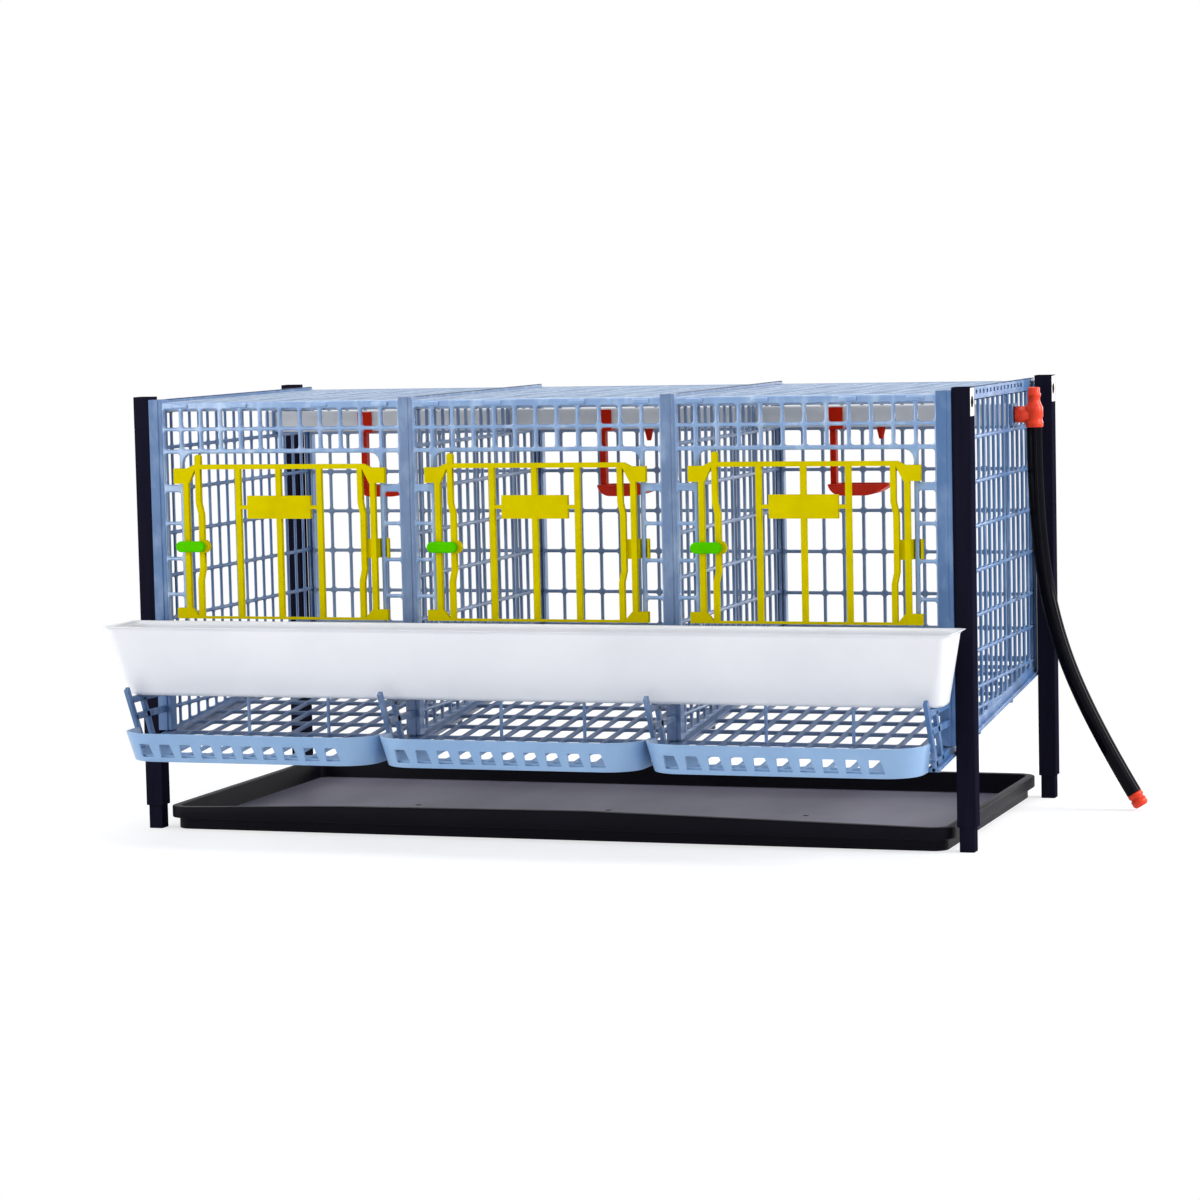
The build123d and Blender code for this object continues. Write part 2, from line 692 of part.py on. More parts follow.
# Manure tray: shallow pan, rolled lip with a skirt, front lip arched upward
def make_tray():
    pan_front, pan_rear = tray_front + tray_lip, tray_rear - tray_lip
    pan_half = tray_half - tray_lip
    wall = tray_wall
    pan_corner = tray_corner - tray_lip
    tray = extrude(rounded(pan_half, pan_front, pan_rear, pan_corner, 0), amount=tray_top)
    lip = extrude(rounded(tray_half, tray_front, tray_rear, tray_corner, tray_skirt),
                  amount=tray_top - tray_skirt)
    lip -= extrude(rounded(tray_half - wall, tray_front + wall, tray_rear - wall, tray_corner - wall,
                           tray_skirt), amount=tray_top - tray_skirt - wall)
    tray += lip
    reach = tray_half - tray_corner
    for inset, depth0, depth1, sign in ((0, tray_front, pan_front + wall, 1),
                                        (wall, tray_front + wall, pan_front, -1)):
        low = tray_top - tray_roll
        arch = ThreePointArc((-reach, tray_top - inset), (0, tray_top + tray_rise - inset),
                             (reach, tray_top - inset))
        rest = Polyline((reach, tray_top - inset), (reach, low), (-reach, low), (-reach, tray_top - inset))
        band = upright(make_face([arch] + rest.edges()), depth0, depth1)
        tray = tray + band if sign > 0 else tray - band
    inside = rounded(pan_half - wall, pan_front + wall, pan_rear - wall, pan_corner - wall, wall)
    tray -= extrude(inside, amount=tray_top + tray_rise)
    for number in (-1, 0, 1):
        hole = Pos(number * tray_hole_pitch, (tray_front + tray_rear) / 2, 0)
        tray -= extrude(hole * RegularPolygon(tray_hole_radius, tray_hole_sides), amount=wall)
    return tray


save("manure_tray", make_tray())

# Square water pipe through all four side panels, plugged at its left end
pipe_half, pipe_bore = pipe_size / 2, pipe_size / 2 - pipe_wall


def pipe_block(half, x0, x1):
    """A square bar on the pipe's axis."""
    return block(x0, x1, pipe_depth - half, pipe_depth + half, pipe_middle - half, pipe_middle + half)


save("water_pipe", pipe_block(pipe_half, pipe_left_end, pipe_right_end)
     - pipe_block(pipe_bore, pipe_left_end, pipe_right_end))
plug = pipe_block(pipe_half, pipe_left_end - pipe_wall, pipe_left_end - seat_gap)
plug += pipe_block(pipe_bore - seat_gap, pipe_left_end - seat_gap, pipe_left_end + plug_length)
save("pipe_end_plug", plug)


# Drinkers: saddle on the pipe, arm and drip cup in one moulding, with a nipple above the cup
def make_drinker(left):
    front, back = pipe_depth - pipe_half, pipe_depth + pipe_half
    low = pipe_middle - pipe_half
    saddle = block(left, left + saddle_width, front - saddle_wall, back + saddle_wall, low - saddle_wall,
                   pipe_middle + pipe_half - saddle_step)
    saddle -= block(left, left + saddle_width, front - seat_gap, back + seat_gap, low - seat_gap,
                    pipe_middle + pipe_half)
    arm_right = left + arm_width
    arm = block(left, arm_right, pipe_depth - arm_depth / 2, pipe_depth + arm_depth / 2, cup_rim,
                low - saddle_wall)
    tip = left + cup_length
    keel = left + cup_keel
    knee = left + cup_knee
    outline = [
        Line((tip, cup_rim), (left, cup_rim)),
        ThreePointArc((left, cup_rim), (left + cup_heel[0], cup_rim - cup_heel[1]), (knee, cup_bottom)),
        Line((knee, cup_bottom), (keel, cup_bottom)),
        ThreePointArc((keel, cup_bottom), (left + cup_prow[0], cup_rim - cup_prow[1]), (tip, cup_rim)),
    ]
    hollow = [(arm_right + cup_wall, cup_rim), (arm_right + cup_wall, cup_rim - cup_inner_heel),
              (knee, cup_bottom + cup_wall), (keel, cup_bottom + cup_wall),
              (left + cup_inner_prow[0], cup_rim - cup_inner_prow[1]), (left + cup_inner_tip, cup_rim)]
    half = cup_width / 2
    cup = upright(make_face(outline), pipe_depth - half, pipe_depth + half)
    plan = rect(left, tip, pipe_depth - half, pipe_depth + half)
    plan = fillet(plan.vertices().sort_by(Axis.X)[-2:], cup_nose)
    cup &= extrude(Pos(0, 0, cup_bottom) * plan, amount=cup_deep)
    inner = upright(shape(hollow), pipe_depth - half + cup_wall, pipe_depth + half - cup_wall)
    inner_plan = rect(left, tip - cup_wall, pipe_depth - half + cup_wall, pipe_depth + half - cup_wall)
    inner_plan = fillet(inner_plan.vertices().sort_by(Axis.X)[-2:], cup_nose - cup_wall)
    inner &= extrude(Pos(0, 0, cup_bottom) * inner_plan, amount=cup_deep)
    return saddle + arm + cup - inner


for bay, (middle, offset) in enumerate(zip(bay_middles, drinker_offsets), start=1):
    left = middle + offset
    save(f"drinker_{bay}", make_drinker(left))
    top = Pos(left + nipple_offset, pipe_depth, pipe_middle - pipe_half - seat_gap)
    nipple = extrude(top * RegularPolygon(nipple_head_radius, nipple_sides), amount=-nipple_head_length)
    nipple += extrude(top * RegularPolygon(nipple_radius, nipple_sides), amount=-nipple_length)
    save(f"nipple_{bay}", nipple)


# Fitting at the pipe's right end: faceted body that steps in to a ringed neck, square spigot in the pipe
def fitting_prism(radius, low, high, taper=0.0):
    """An upright length of the fitting."""
    outline = Pos(fitting_x, pipe_depth, low) * RegularPolygon(radius, fitting_sides)
    return extrude(outline, amount=high - low, taper=taper)


shoulder_low, shoulder_high = pipe_middle + fitting_shoulder_rise, pipe_middle + fitting_neck_rise
shoulder_step = (fitting_radius - fitting_neck) * math.cos(math.pi / fitting_sides)
shoulder_taper = math.degrees(math.atan2(shoulder_step, shoulder_high - shoulder_low))
ring_low = pipe_middle + fitting_ring_rise - fitting_ring_thick / 2
fitting = fitting_prism(fitting_radius, fitting_bottom, shoulder_low)
fitting += fitting_prism(fitting_radius, shoulder_low, shoulder_high, shoulder_taper)
fitting += fitting_prism(fitting_neck, shoulder_high, pipe_middle + fitting_rise)
fitting += fitting_prism(fitting_ring, ring_low, ring_low + fitting_ring_thick)
side_on = Plane((collar_start, pipe_depth, pipe_middle), x_dir=(0, 1, 0), z_dir=(1, 0, 0))
collar = side_on * Rot(0, 0, 180 / collar_sides) * RegularPolygon(collar_radius, collar_sides)
fitting += extrude(collar, amount=fitting_x - collar_start)
fitting += pipe_block(pipe_bore - seat_gap, collar_start - plug_length, collar_start)
save("hose_fitting", fitting)

# Hose: straight runs joined by tangent arcs, all in the plane of the pipe's axis
turns = ((0.0, fitting_bottom), (0.0, fitting_bottom - hose_plumb)) + hose_points
route = [Vector(fitting_x + across, pipe_depth, height) for across, height in turns]
runs = [end - start for start, end in zip(route, route[1:])]
radii = []
for before, after in zip(runs, runs[1:]):
    turn = math.radians(before.get_angle(after))
    radii.append(hose_bend_share * min(before.length, after.length) / math.tan(turn / 2))
path = FilletPolyline(*route, radius=radii)
section = Plane(route[0], z_dir=runs[0]) * RegularPolygon(hose_radius, hose_sides)
hose = sweep(section, path=path)
print("hose radii", [round(radius) for radius in radii], "length", round(path.length, 1))
print("hose volume over section times length", round(hose.volume / (section.area * path.length), 4))
save("hose", hose)

# Cap on the hose's free end, in line with its last run
end_plane = Plane(route[-1], z_dir=runs[-1])
cap = extrude(end_plane * RegularPolygon(hose_end_radius, fitting_sides), amount=hose_end_length)
bore_start = route[-1] + runs[-1].normalized() * (hose_end_length - hose_end_bore_deep)
far_plane = Plane(bore_start, z_dir=runs[-1])
cap -= extrude(far_plane * Circle(hose_end_bore), amount=hose_end_bore_deep)
save("hose_end_fitting", cap)
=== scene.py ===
import json
import math

import bmesh
import bpy
from mathutils import Matrix, Vector

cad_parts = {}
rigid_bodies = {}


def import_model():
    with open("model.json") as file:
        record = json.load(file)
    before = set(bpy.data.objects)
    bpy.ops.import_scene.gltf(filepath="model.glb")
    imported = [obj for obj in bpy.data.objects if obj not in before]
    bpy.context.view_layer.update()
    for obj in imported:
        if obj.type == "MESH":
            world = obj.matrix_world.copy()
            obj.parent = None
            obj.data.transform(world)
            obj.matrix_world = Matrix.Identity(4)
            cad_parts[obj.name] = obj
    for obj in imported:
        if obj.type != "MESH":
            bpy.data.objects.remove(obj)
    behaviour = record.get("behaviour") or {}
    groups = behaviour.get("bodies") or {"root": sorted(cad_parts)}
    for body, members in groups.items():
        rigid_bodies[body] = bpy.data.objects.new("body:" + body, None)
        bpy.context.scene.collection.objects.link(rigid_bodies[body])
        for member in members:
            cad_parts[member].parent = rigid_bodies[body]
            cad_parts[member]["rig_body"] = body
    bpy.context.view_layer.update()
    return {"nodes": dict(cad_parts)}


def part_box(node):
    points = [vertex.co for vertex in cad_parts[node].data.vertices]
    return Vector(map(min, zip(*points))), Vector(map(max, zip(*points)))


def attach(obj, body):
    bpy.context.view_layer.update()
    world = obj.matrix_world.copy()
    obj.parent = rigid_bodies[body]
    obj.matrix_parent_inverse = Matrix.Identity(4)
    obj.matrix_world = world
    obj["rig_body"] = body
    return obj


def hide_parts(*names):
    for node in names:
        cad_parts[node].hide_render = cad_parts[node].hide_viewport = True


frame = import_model()
scene = bpy.context.scene

# Sizes in millimetres, drawn as the cage was drawn: X from the middle bay, Y from the posts' front faces
METRE = 1000.0
MIDDLE_DEPTH = 188.5
BAY_PITCH = 375.0
BAY_MIDDLES = {bay: (bay - 2) * BAY_PITCH for bay in (1, 2, 3)}
SIDE_LINES = {"side_panel_left": -1.5 * BAY_PITCH, "partition_1": -0.5 * BAY_PITCH,
              "partition_2": 0.5 * BAY_PITCH, "side_panel_right": 1.5 * BAY_PITCH}

# Mesh of the moulded panels
MESH_PITCH = 30.0
MESH_BAR = 5.0
MESH_STEPS = 5
HOLE_CORNER = 3.6
PANEL_HALF = 177.3
PANEL_EDGE = 175.3
PANEL_TOP = 600.0
CAGE_TOP = 604.0
RAIL_LOW = 586.0
FRONT_FACE, FRONT_BACK = -3.0, 4.0
REAR_FLANGE = 520.0

# Upper face of the sloping floors
FLOOR_HEIGHT = 139.0
FLOOR_SLOPE = 0.1


def to_frame(point):
    """A point of the drawing, in metres of the shared frame."""
    return Vector((point[0], point[1] - MIDDLE_DEPTH, point[2])) / METRE


def floor_at(depth):
    """Height of the floor's upper face at a depth."""
    return FLOOR_HEIGHT + FLOOR_SLOPE * depth


def gaps_between(bars, width, start, end):
    """Open spans left between bars standing at the given places."""
    edges = [start]
    for bar in bars:
        edges += [bar - width / 2, bar + width / 2]
    edges.append(end)
    return list(zip(edges[0::2], edges[1::2]))


def mesh_holes(columns, rows):
    """Holes of a mesh, as (left, right, low, high, corner), where open columns cross open rows."""
    return [(left, right, low, high, HOLE_CORNER) for left, right in columns for low, high in rows]


def rectangle(left, right, low, high):
    """Corners of an outline between two opposite corners."""
    return [(left, low), (right, low), (right, high), (left, high)]


MESH_BARS = [MESH_PITCH * step for step in range(-MESH_STEPS, MESH_STEPS + 1)]

# Materials

# How the two tones of a plastic meet, and how its pale patches, gloss and grain lie
TONE_FROM, TONE_TO = 0.32, 0.68
PATCH_MM, PATCH_STRETCH = 24.0, 0.4
PATCH_FROM, PATCH_FULL = 0.5, 0.72
GLOSS_DROP, GLOSS_RISE = 0.06, 0.08
COAT_ROUGHNESS = 0.08
GRAIN_STRENGTH = 0.5
# Colour sockets of a Mix node, by number because others bear the same names
MIX_UNDER, MIX_OVER, MIX_RESULT = 6, 7, 2


def linear(code):
    """An sRGB hex colour as linear red, green, blue and alpha."""
    values = [int(code[i:i + 2], 16) / 255 for i in (1, 3, 5)]
    return tuple(v / 12.92 if v <= 0.04045 else ((v + 0.055) / 1.055) ** 2.4 for v in values) + (1.0,)


def per_metre(size_mm):
    """Texture scale at which one feature of a pattern is about this many millimetres."""
    return METRE / size_mm


def add(tree, kind, inputs=None, **settings):
    """Add a node with its settings, and fill or link its inputs."""
    made = tree.nodes.new(kind)
    for key, value in settings.items():
        setattr(made, key, value)
    for key, value in (inputs or {}).items():
        for item in value if isinstance(value, list) else [value]:
            if isinstance(item, bpy.types.NodeSocket):
                tree.links.new(item, made.inputs[key])
            else:
                made.inputs[key].default_value = item
    return made


def lay_over(material, share, tone):
    """Let another tone cover a share of a material's colour."""
    tree = material.node_tree
    base = tree.nodes["Principled BSDF"].inputs["Base Color"]
    tones = {"Factor": share, MIX_UNDER: base.links[0].from_socket, MIX_OVER: tone}
    covered = add(tree, "ShaderNodeMix", tones, data_type="RGBA")
    tree.links.new(covered.outputs[MIX_RESULT], base)


def plastic(name, colour, shade, roughness, blotch_mm=60, grain_mm=1.4, grain_depth_mm=0.05, streak=1.0,
            coat=0.0, ior=1.49, specular=0.5, patch=None, patch_share=0.5):
    """A plastic of two close tones in soft blotches, with pale patches if asked, and with a grain.

    The real grain is too fine to show, so it is drawn about a millimetre coarse.
    """
    made = bpy.data.materials.new(name)
    made.use_nodes = True
    tree = made.node_tree
    sockets = tree.nodes["Principled BSDF"].inputs
    place = add(tree, "ShaderNodeTexCoord").outputs["Object"]
    stretched = add(tree, "ShaderNodeMapping", {"Vector": place, "Scale": (1.0, 1.0, streak)})
    blotch = add(tree, "ShaderNodeTexNoise", {
        "Vector": stretched.outputs["Vector"], "Scale": per_metre(blotch_mm), "Detail": 4.0,
        "Roughness": 0.6})
    tone = add(tree, "ShaderNodeValToRGB", {"Fac": blotch.outputs["Fac"]})
    for stop, position, code in zip(tone.color_ramp.elements, (TONE_FROM, TONE_TO), (shade, colour)):
        stop.position = position
        stop.color = linear(code)
    tree.links.new(tone.outputs["Color"], sockets["Base Color"])
    # Pale patches in upright streaks: partly mottling of the plastic, partly painted sheen
    if patch:
        drawn = add(tree, "ShaderNodeMapping", {"Vector": place, "Scale": (1.0, 1.0, PATCH_STRETCH)})
        cloud = add(tree, "ShaderNodeTexNoise", {
            "Vector": drawn.outputs["Vector"], "Scale": per_metre(PATCH_MM), "Detail": 3.0})
        share = add(tree, "ShaderNodeMapRange", {
            "Value": cloud.outputs["Fac"], "From Min": PATCH_FROM, "From Max": PATCH_FULL,
            "To Max": patch_share})
        lay_over(made, share.outputs["Result"], linear(patch))
    gloss = add(tree, "ShaderNodeMapRange", {
        "Value": blotch.outputs["Fac"], "To Min": roughness - GLOSS_DROP, "To Max": roughness + GLOSS_RISE})
    tree.links.new(gloss.outputs["Result"], sockets["Roughness"])
    grain = add(tree, "ShaderNodeTexNoise", {"Vector": place, "Scale": per_metre(grain_mm), "Detail": 2.0})
    bump = add(tree, "ShaderNodeBump", {
        "Height": grain.outputs["Fac"], "Strength": GRAIN_STRENGTH, "Distance": grain_depth_mm / METRE})
    tree.links.new(bump.outputs["Normal"], sockets["Normal"])
    sockets["IOR"].default_value = ior
    sockets["Specular IOR Level"].default_value = specular
    sockets["Coat Weight"].default_value = coat
    sockets["Coat Roughness"].default_value = COAT_ROUGHNESS
    return made


# Injection-moulded polypropylene of the cage: satin, slightly waxy, with faint flow tones and pale patches;
# its copies for the side walls, partitions, rear panels and floors are darker by painted shade
LIP_BLUE = "#84a6cd"
blue_pp = plastic("blue_polypropylene_moulded", "#7b9dca", "#6b8dbc", 0.22, coat=0.6, specular=0.7,
                  patch="#bcd2ea")
wall_shaded_blue_pp = plastic("blue_polypropylene_moulded_painted_shade_walls", "#4c70a0", "#416492", 0.4, coat=0.05,
                       patch="#a3bbd8", patch_share=0.3)
inner_shaded_blue_pp = plastic("blue_polypropylene_moulded_painted_shade_partitions", "#647ea6", "#587298", 0.32, coat=0.3,
                        patch="#a3bbd8", patch_share=0.4)
rear_shaded_blue_pp = plastic("blue_polypropylene_moulded_painted_shade_rear", "#7e93b0", "#7087a6", 0.36)
top_blue_pp = plastic("pale_grey_blue_polypropylene_moulded", "#93a5bd", "#8699b4", 0.34, specular=0.25)
floor_painted_light_blue_pp = plastic("blue_polypropylene_moulded_painted_shade_and_lit_edge_floor", "#5f7393", "#526688", 0.42, specular=0.25)
pale_blue_pp = plastic("pale_blue_polypropylene_moulded", LIP_BLUE, "#7a9dc6", 0.34, coat=0.15)
# The same plastic in yellow and green, for the doors and latches: full colour, hardly any sheen
yellow_pp = plastic("yellow_polypropylene_moulded", "#d2c300", "#c6b500", 0.42, blotch_mm=40, grain_mm=1.2,
                    grain_depth_mm=0.04, specular=0.0)
green_pp = plastic("green_polypropylene_moulded", "#54c800", "#48b800", 0.36, blotch_mm=25, grain_mm=1.0,
                   grain_depth_mm=0.04, specular=0.0)
# Moulded ABS of the drinkers and the hose's fittings: smooth, with a weak sheen
red_abs = plastic("red_abs_moulded", "#c82406", "#b21a04", 0.32, blotch_mm=30, grain_mm=1.0,
                  grain_depth_mm=0.02, ior=1.25, specular=0.2)
orange_abs = plastic("orange_red_abs_moulded", "#e23c1a", "#d03010", 0.34, blotch_mm=20, grain_mm=1.0,
                     grain_depth_mm=0.03, ior=1.35)
# White polypropylene of the trough: smooth, with faint cloudiness
white_pp = plastic("white_polypropylene_smooth", "#e2e4e9", "#dadce2", 0.32, blotch_mm=180, grain_mm=2.5,
                   grain_depth_mm=0.03, coat=0.1)
# Extruded PVC of the posts: black and dull, with faint lengthwise drawing lines
black_pvc = plastic("black_pvc_extruded", "#1b1a29", "#151421", 0.5, blotch_mm=14, grain_mm=1.0,
                    grain_depth_mm=0.03, streak=0.08, specular=0.0)
# Thermoformed polystyrene of the tray: low sheen, fine leathery grain
black_hips = plastic("black_polystyrene_formed", "#121019", "#0c0b12", 0.45, blotch_mm=120, grain_mm=1.8,
                     grain_depth_mm=0.08, specular=0.06)
# Extruded PVC of the water pipe: greyish white, even
grey_pvc = plastic("grey_white_pvc_extruded", "#d0d2d6", "#c2c5ca", 0.4, grain_mm=1.2, grain_depth_mm=0.02)
# Nylon of the lock plates: light, slightly blotchy
plate_nylon = plastic("light_nylon_plate", "#d4d0ce", "#c4c0be", 0.4, blotch_mm=12, grain_mm=0.8,
                      grain_depth_mm=0.03)
# Flexible PVC of the hose: black, with a thin gloss
hose_pvc = plastic("black_pvc_hose", "#0b0a12", "#07060c", 0.22, blotch_mm=30, grain_mm=1.2,
                   grain_depth_mm=0.01, coat=0.12, specular=0.0)

# Painted reflection of the pale surroundings on the tray's bottom: full up to one height, gone from another,
# only on faces that look up
REFLECTION_FULL, REFLECTION_GONE = 4.0, 10.0
REFLECTION_LEANING, REFLECTION_LEVEL = 0.5, 0.9
REFLECTION_MM, REFLECTION_SLANT, REFLECTION_STRETCH = 150, 0.6, 0.4


def lay_painted_reflection(material):
    """Paint a reflection of the pale surroundings on a material's low, level faces, in faint slanting
    patches.
    """
    tree = material.node_tree
    spot = add(tree, "ShaderNodeTexCoord").outputs
    upward = add(tree, "ShaderNodeSeparateXYZ", {"Vector": spot["Normal"]}).outputs["Z"]
    height = add(tree, "ShaderNodeSeparateXYZ", {"Vector": spot["Object"]}).outputs["Z"]
    low_down = add(tree, "ShaderNodeMapRange", {
        "Value": height, "From Min": REFLECTION_GONE / METRE, "From Max": REFLECTION_FULL / METRE})
    lying = add(tree, "ShaderNodeMapRange", {
        "Value": upward, "From Min": REFLECTION_LEANING, "From Max": REFLECTION_LEVEL,
        "To Max": low_down.outputs["Result"]})
    slanted = add(tree, "ShaderNodeMapping", {
        "Vector": spot["Object"], "Rotation": (0, 0, REFLECTION_SLANT), "Scale": (1.0, REFLECTION_STRETCH, 1.0)})
    reflection_patches = add(tree, "ShaderNodeTexNoise", {
        "Vector": slanted.outputs["Vector"], "Scale": per_metre(REFLECTION_MM), "Detail": 3.0})
    tones = {"Factor": reflection_patches.outputs["Fac"], MIX_UNDER: linear("#5c5a68"), MIX_OVER: linear("#8c8a98")}
    reflection_tone = add(tree, "ShaderNodeMix", tones, data_type="RGBA")
    lay_over(material, lying.outputs["Result"], reflection_tone.outputs[MIX_RESULT])


# Depths between which the floors' front edge turns to the lips' colour, as painted light where the front
# lamps fall on it
LIT_EDGE_FROM, LIT_EDGE_FULL = -60.0, -80.0


def lay_painted_lit_edge(material):
    """Paint light on a material towards the front, in the lips' colour."""
    tree = material.node_tree
    place = add(tree, "ShaderNodeTexCoord").outputs["Object"]
    depth = add(tree, "ShaderNodeSeparateXYZ", {"Vector": place}).outputs["Y"]
    start, full = (to_frame((0, edge, 0)).y for edge in (LIT_EDGE_FROM, LIT_EDGE_FULL))
    at_edge = add(tree, "ShaderNodeMapRange", {"Value": depth, "From Min": start, "From Max": full})
    lay_over(material, at_edge.outputs["Result"], linear(LIP_BLUE))


# Painted reflection on the tray's bottom
lay_painted_reflection(black_hips)
# Painted light on the floors' front edge
lay_painted_lit_edge(floor_painted_light_blue_pp)

# Geometry Nodes: sheet with rounded holes, and round bars
WELD = 0.001


def new_tree(name, inputs, output):
    """A tree with named inputs of given kinds and one named shape coming out, and what is put in."""
    tree = bpy.data.node_groups.new(name, "GeometryNodeTree")
    tree.is_modifier = True
    for label, kind in inputs.items():
        tree.interface.new_socket(label, in_out="INPUT", socket_type=f"NodeSocket{kind}")
    tree.interface.new_socket(output, in_out="OUTPUT", socket_type="NodeSocketGeometry")
    return tree, add(tree, "NodeGroupInput").outputs


def end_tree(tree, shape, material, output):
    """Make a tree's shape real, give it its material and hand it out."""
    real = add(tree, "GeometryNodeRealizeInstances", {"Geometry": shape}).outputs["Geometry"]
    finish = add(tree, "GeometryNodeSetMaterial", {"Geometry": real, "Material": material})
    add(tree, "NodeGroupOutput", {output: finish.outputs["Geometry"]})


def sheet_tree():
    """Holes of given sizes at the points marked as holes, cut with rounded corners through an outline."""
    tree, given = new_tree("perforated_sheet", {
        "Outline and hole points": "Geometry", "Corner segments": "Int", "Thickness": "Float",
        "Material": "Material"}, "Sheet")
    drawing = given["Outline and hole points"]
    size = add(tree, "GeometryNodeInputNamedAttribute", {"Name": "hole_size"}, data_type="FLOAT_VECTOR")
    corner = add(tree, "GeometryNodeInputNamedAttribute", {"Name": "hole_corner"}, data_type="FLOAT")
    marked = add(tree, "GeometryNodeInputNamedAttribute", {"Name": "is_hole"}, data_type="BOOLEAN")
    unit = add(tree, "GeometryNodeCurvePrimitiveQuadrilateral", {"Width": 1.0, "Height": 1.0},
               mode="RECTANGLE")
    spread = add(tree, "GeometryNodeInstanceOnPoints", {
        "Points": drawing, "Selection": marked.outputs["Attribute"], "Instance": unit.outputs["Curve"],
        "Scale": size.outputs["Attribute"]})
    cut = add(tree, "GeometryNodeRealizeInstances", {"Geometry": spread.outputs["Instances"]})
    rounded = add(tree, "GeometryNodeFilletCurve", {
        "Curve": cut.outputs["Geometry"], "Count": given["Corner segments"],
        "Radius": corner.outputs["Attribute"], "Limit Radius": True}, mode="POLY")
    edge = add(tree, "GeometryNodeMeshToCurve", {"Mesh": drawing})
    lines = [edge.outputs["Curve"], rounded.outputs["Curve"]]
    outline = add(tree, "GeometryNodeJoinGeometry", {"Geometry": lines})
    filled = add(tree, "GeometryNodeFillCurve", {"Curve": outline.outputs["Geometry"]}, mode="NGONS")
    raised = add(tree, "GeometryNodeExtrudeMesh", {
        "Mesh": filled.outputs["Mesh"], "Individual": False,
        "Offset Scale": given["Thickness"]}, mode="FACES")
    under = add(tree, "GeometryNodeFlipFaces", {"Mesh": filled.outputs["Mesh"]})
    skins = [raised.outputs["Mesh"], under.outputs["Mesh"]]
    closed = add(tree, "GeometryNodeJoinGeometry", {"Geometry": skins})
    welded = add(tree, "GeometryNodeMergeByDistance", {
        "Geometry": closed.outputs["Geometry"], "Distance": WELD})
    end_tree(tree, welded.outputs["Geometry"], given["Material"], "Sheet")
    return tree


def rod_tree():
    """Round bars of one thickness along every line of a wire drawing."""
    tree, given = new_tree("round_bars", {
        "Lines": "Geometry", "Radius": "Float", "Sides": "Int", "Material": "Material"}, "Bars")
    line = add(tree, "GeometryNodeMeshToCurve", {"Mesh": given["Lines"]})
    ring = add(tree, "GeometryNodeCurvePrimitiveCircle", {
        "Resolution": given["Sides"], "Radius": given["Radius"]}, mode="RADIUS")
    swept = add(tree, "GeometryNodeCurveToMesh", {
        "Curve": line.outputs["Curve"], "Profile Curve": ring.outputs["Curve"], "Fill Caps": True})
    end_tree(tree, swept.outputs["Mesh"], given["Material"], "Bars")
    return tree


SHEET_TREE = sheet_tree()
ROD_TREE = rod_tree()


def run_tree(tree, mesh, values):
    """The part that a tree makes from a carrier mesh and its named inputs."""
    carrier = bpy.data.objects.new("carrier", mesh)
    scene.collection.objects.link(carrier)
    modifier = carrier.modifiers.new("shape", "NODES")
    modifier.node_group = tree
    for item in tree.interface.items_tree:
        if item.in_out == "INPUT" and item.name in values:
            modifier[item.identifier] = values[item.name]
    graph = bpy.context.evaluated_depsgraph_get()
    made = bpy.data.meshes.new_from_object(carrier.evaluated_get(graph))
    part = bmesh.new()
    part.from_mesh(made)
    bpy.data.objects.remove(carrier)
    for used in (mesh, made):
        bpy.data.meshes.remove(used)
    return part


def perforated(outline, holes, thick, material, segments):
    """A flat sheet in X and Y, from Z 0 up to its thickness, with holes as mesh_holes gives them."""
    drawing = bpy.data.meshes.new("drawing")
    middles = [((left + right) / 2, (low + high) / 2, 0) for left, right, low, high, _ in holes]
    sizes = [(right - left, high - low, 1.0) for left, right, low, high, _ in holes]
    first, rest = len(holes), len(outline)
    loop = [(first + n, first + (n + 1) % rest) for n in range(rest)]
    drawing.from_pydata(middles + [(x, y, 0) for x, y in outline], loop, [])
    size = drawing.attributes.new("hole_size", "FLOAT_VECTOR", "POINT")
    size.data.foreach_set("vector", [side for sides in sizes for side in sides] + [1.0] * 3 * rest)
    corner = drawing.attributes.new("hole_corner", "FLOAT", "POINT")
    corner.data.foreach_set("value", [hole[4] for hole in holes] + [0.0] * rest)
    marked = drawing.attributes.new("is_hole", "BOOLEAN", "POINT")
    marked.data.foreach_set("value", [True] * first + [False] * rest)
    values = {"Corner segments": segments, "Thickness": thick, "Material": material}
    return run_tree(SHEET_TREE, drawing, values)


# Building shapes part by part, each part with its own rounding

# Outlines drawn flat are stood up: across the front, or along the side
FACE_ON = Matrix(((1, 0, 0, 0), (0, 0, -1, 0), (0, 1, 0, 0), (0, 0, 0, 1)))
SIDE_ON = Matrix(((0, 0, 1, 0), (1, 0, 0, 0), (0, 1, 0, 0), (0, 0, 0, 1)))
# Angles from which an edge counts as sharp, and up to which it counts as flat
SHARP = math.radians(32)
FLAT = math.radians(1)
# Distances within which a point lies at a seam, and two points of the CAD are one
SEAM_SLACK = 0.2
MERGE = 0.002


def soften(part, edge, steps=2, clamp=True, seam=None):
    """Round a part's sharp edges but those at a seam's height, and shade only its curved faces smooth."""
    sharp = []
    for face in part.faces:
        face.smooth = any(FLAT < side.calc_face_angle(0.0) < SHARP for side in face.edges if side.is_manifold)
    for side in part.edges:
        at_seam = seam is not None and all(abs(vert.co.z - seam) < SEAM_SLACK for vert in side.verts)
        if side.is_manifold and side.calc_face_angle(0.0) >= SHARP and not at_seam:
            sharp.append(side)
    made = bmesh.ops.bevel(part, geom=sharp, offset=edge, offset_type="OFFSET", segments=steps, profile=0.5,
                           affect="EDGES", clamp_overlap=clamp)
    for face in made["faces"]:
        face.smooth = True


